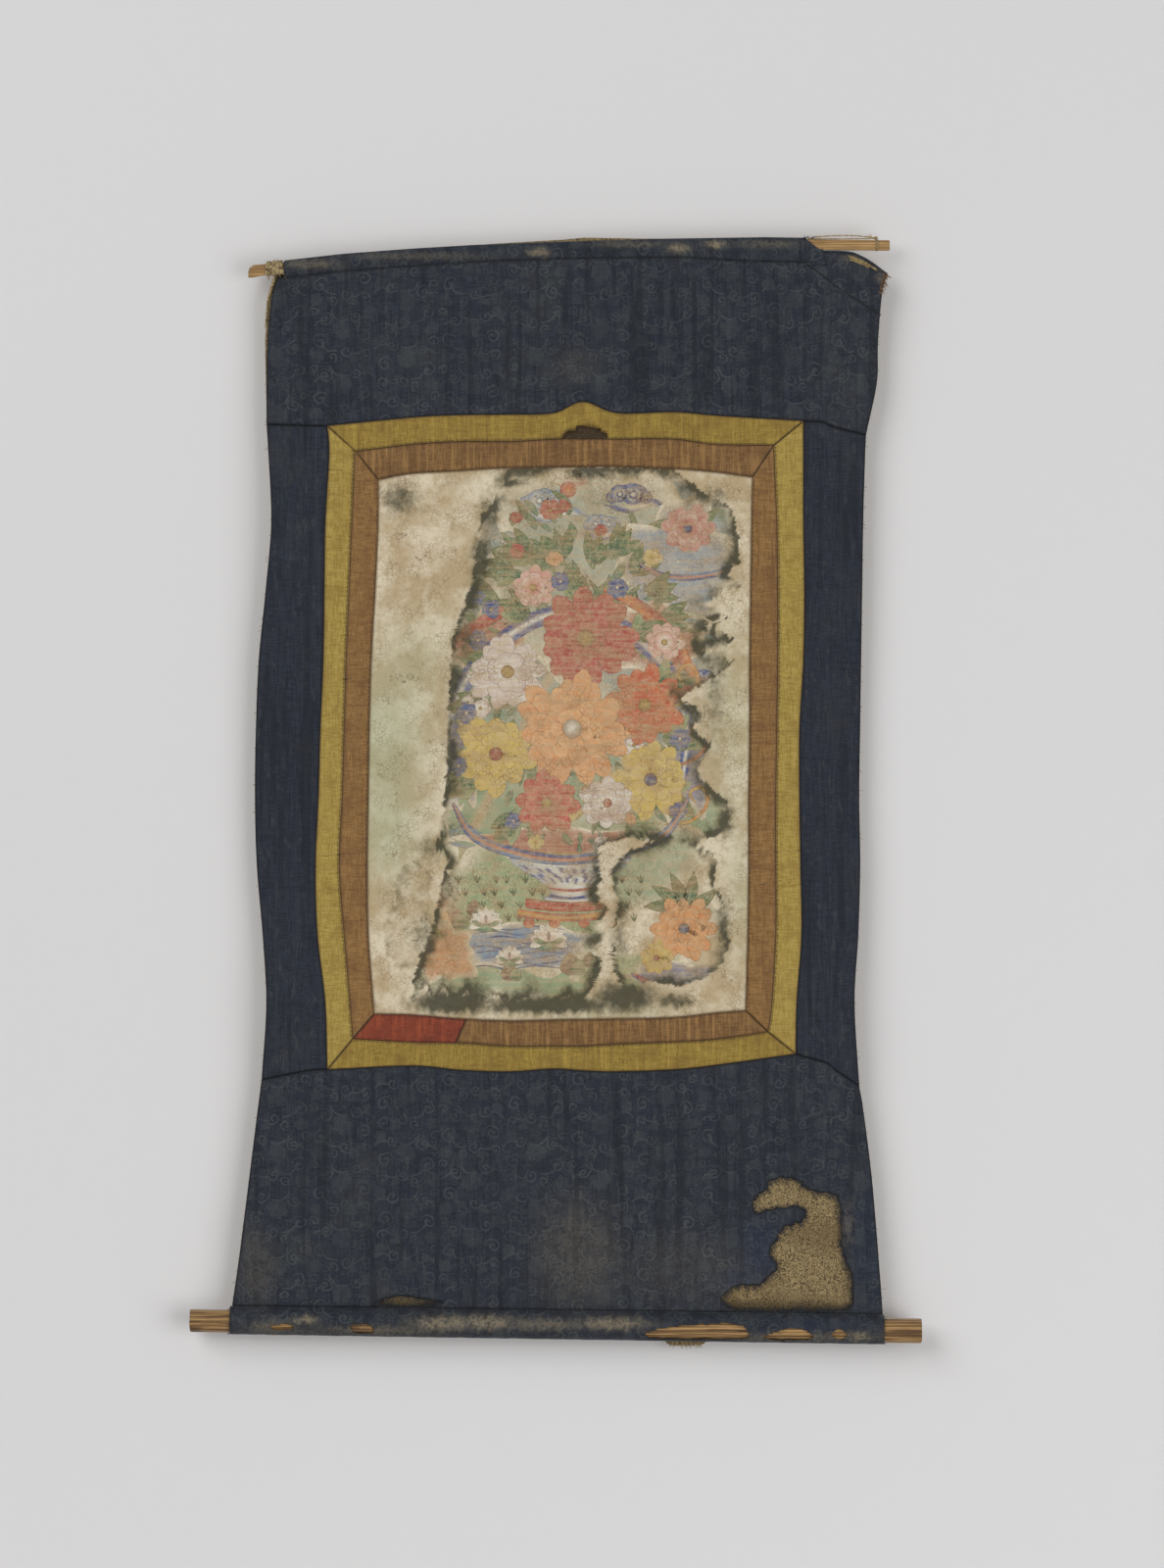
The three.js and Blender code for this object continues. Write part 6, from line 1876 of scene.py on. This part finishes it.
def make_stitches():
    dark = spun("seam_thread", (38, 27, 18), (86, 64, 42))
    rows = []
    for lines, offset in ((PICTURE, 1.7), (BROWN, 1.6)):
        for number, (side, sign) in enumerate((("top", 1), ("bottom", -1), ("left", 1), ("right", -1))):
            rows += stitched(beside(lines[side], sign * offset), 4.4, 2.7, 210 + number)
    for inner, outer in ((PICTURE_CORNERS, BROWN_CORNERS), (BROWN_CORNERS, GOLD_CORNERS)):
        for number, key in enumerate(inner):
            rows += stitched(np.linspace(inner[key], outer[key], 8), 3, 2.2, 220 + number)
    strands("seam_stitches", "brown", dark, (rows, 0.24, 4))


def make_dark_lines():
    """Painted shade: a thin dark line of strands laid in the sharp creases, and in the seam of the slipped
    casing.
    """
    # Near-black thread that stands for the shade in the creases and the seam
    painted_shade_thread = spun("painted_crease_shade", (10, 11, 13), (34, 30, 27))
    sharp = []
    for number, (x0, z0, x1, z1, width, push) in enumerate(CREASES):
        if width <= 1.8 and push > 0 and z0 < -200:
            line = np.linspace((x0, z0), (x1, z1), 20)
            line[:, 1] += 0.7 * waves(even(20), (0.9, 0.37, 0.21), 240 + number)
            sharp.append(upright(*line.T, hang(*line.T) - 0.1))
    strands("crease_lines", "brown", painted_shade_thread, (sharp, 0.38, 4), ([on_cloth(SLIPPED_SEAM, 70, 0.05)], 0.85, 6))


def make_frays():
    blue = spun("frayed_silk", (18, 22, 32), (50, 56, 68))
    ochre = spun("frayed_cotton", (84, 66, 38), (162, 142, 100))
    rust = spun("rusty_threads", (64, 44, 26), (130, 98, 60))
    draw = np.random.default_rng(230)
    loose = []
    for outline, depth, seed in TEARS:
        edge = ragged(outline, depth, seed)
        loop = np.vstack([edge, 0.5 * (edge + np.roll(edge, 1, 0))])
        smoothed = through([*outline, outline[0]], len(edge) + 1)[:-1]
        way = np.roll(smoothed, -1, 0) - np.roll(smoothed, 1, 0)
        way /= np.hypot(*way.T)[:, None]
        inward = np.tile(upright(way[:, 1], -way[:, 0], 0), (2, 1))
        roots = upright(*loop.T, hang(*loop.T) + draw.uniform(-0.25, 0.3, len(loop)))
        loose += frayed(roots, inward, 0.8, 5, 231)
    height = draw.uniform(-6, FLAP["to"], 60)
    at_end = upright(across_at(FLAP_EDGE, height) - 0.6, height, FLAP["y"])
    loose += frayed(at_end, (0.8, 0, -0.3), 1.5, 6, 232, droop=0.2)
    tuft = upright(draw.uniform(238, 250, 26), 10.4, draw.uniform(-3, 2, 26))
    loose += frayed(tuft, (0.7, 0, 0.5), 1.5, 5, 237, droop=0.1)
    for x0, way in ((CASING_LEFT, -1), (CASING_RIGHT, 1)):
        turn = draw.uniform(0, 2 * np.pi, 16)
        out = roller_radius(x0) + 1.3
        rim = upright(x0, roller_height(x0) + out * np.cos(turn), -out * np.sin(turn))
        loose += frayed(rim, (way, 0, 0), 1, 4, 233)
    strands("silk_frays", "silk", blue, (loose, 0.22, 4), ([on_cloth(ROLLED_HEM, 40, 0.7)], 1, 8))

    torn = [on_cloth([(x + 0.4 * k, z - 1.3 * k) for x, z in TORN_LINING[:4 - k // 2]], 24, 0.8 - 0.1 * k)
            for k in range(4)]
    across = draw.uniform(TONGUE["x"] - 18, TONGUE["x"] + 18, 40)
    under = upright(across, roller_height(across) + LINING_END - TONGUE["drop"] + 0.5, 12.5)
    hanging = frayed(under, (0, 0, -1), 0.6, 3, 234)
    sides = []
    for line, way in ((LINING_LEFT_EDGE, -1), (LINING_RIGHT_EDGE, 1)):
        z = draw.uniform(-1080, -60, 90)
        x = across_at(line, z)
        root = upright(x, z, hang(x, z) + LINING_STEP)
        sides += frayed(root, (way, 0, 0), 0.5, 2.6, 235)
    strands("cotton_frays", "lining", ochre, (torn, 0.7, 6), (hanging + sides, 0.22, 4))

    z = draw.uniform(-44, -21, 60)
    x = np.interp(z, (-44, -25.5, -21), (319, 324.5, 318)) - draw.uniform(0, 3, 60)
    tip = frayed(upright(x, z, hang(x, z) - 0.5), (0.7, -0.1, -0.5), 2, 6, 236)
    strands("rusty_frays", "lining", rust, (tip, 0.34, 4))


make_string()
make_lashing()
make_stitches()
make_dark_lines()
make_frays()
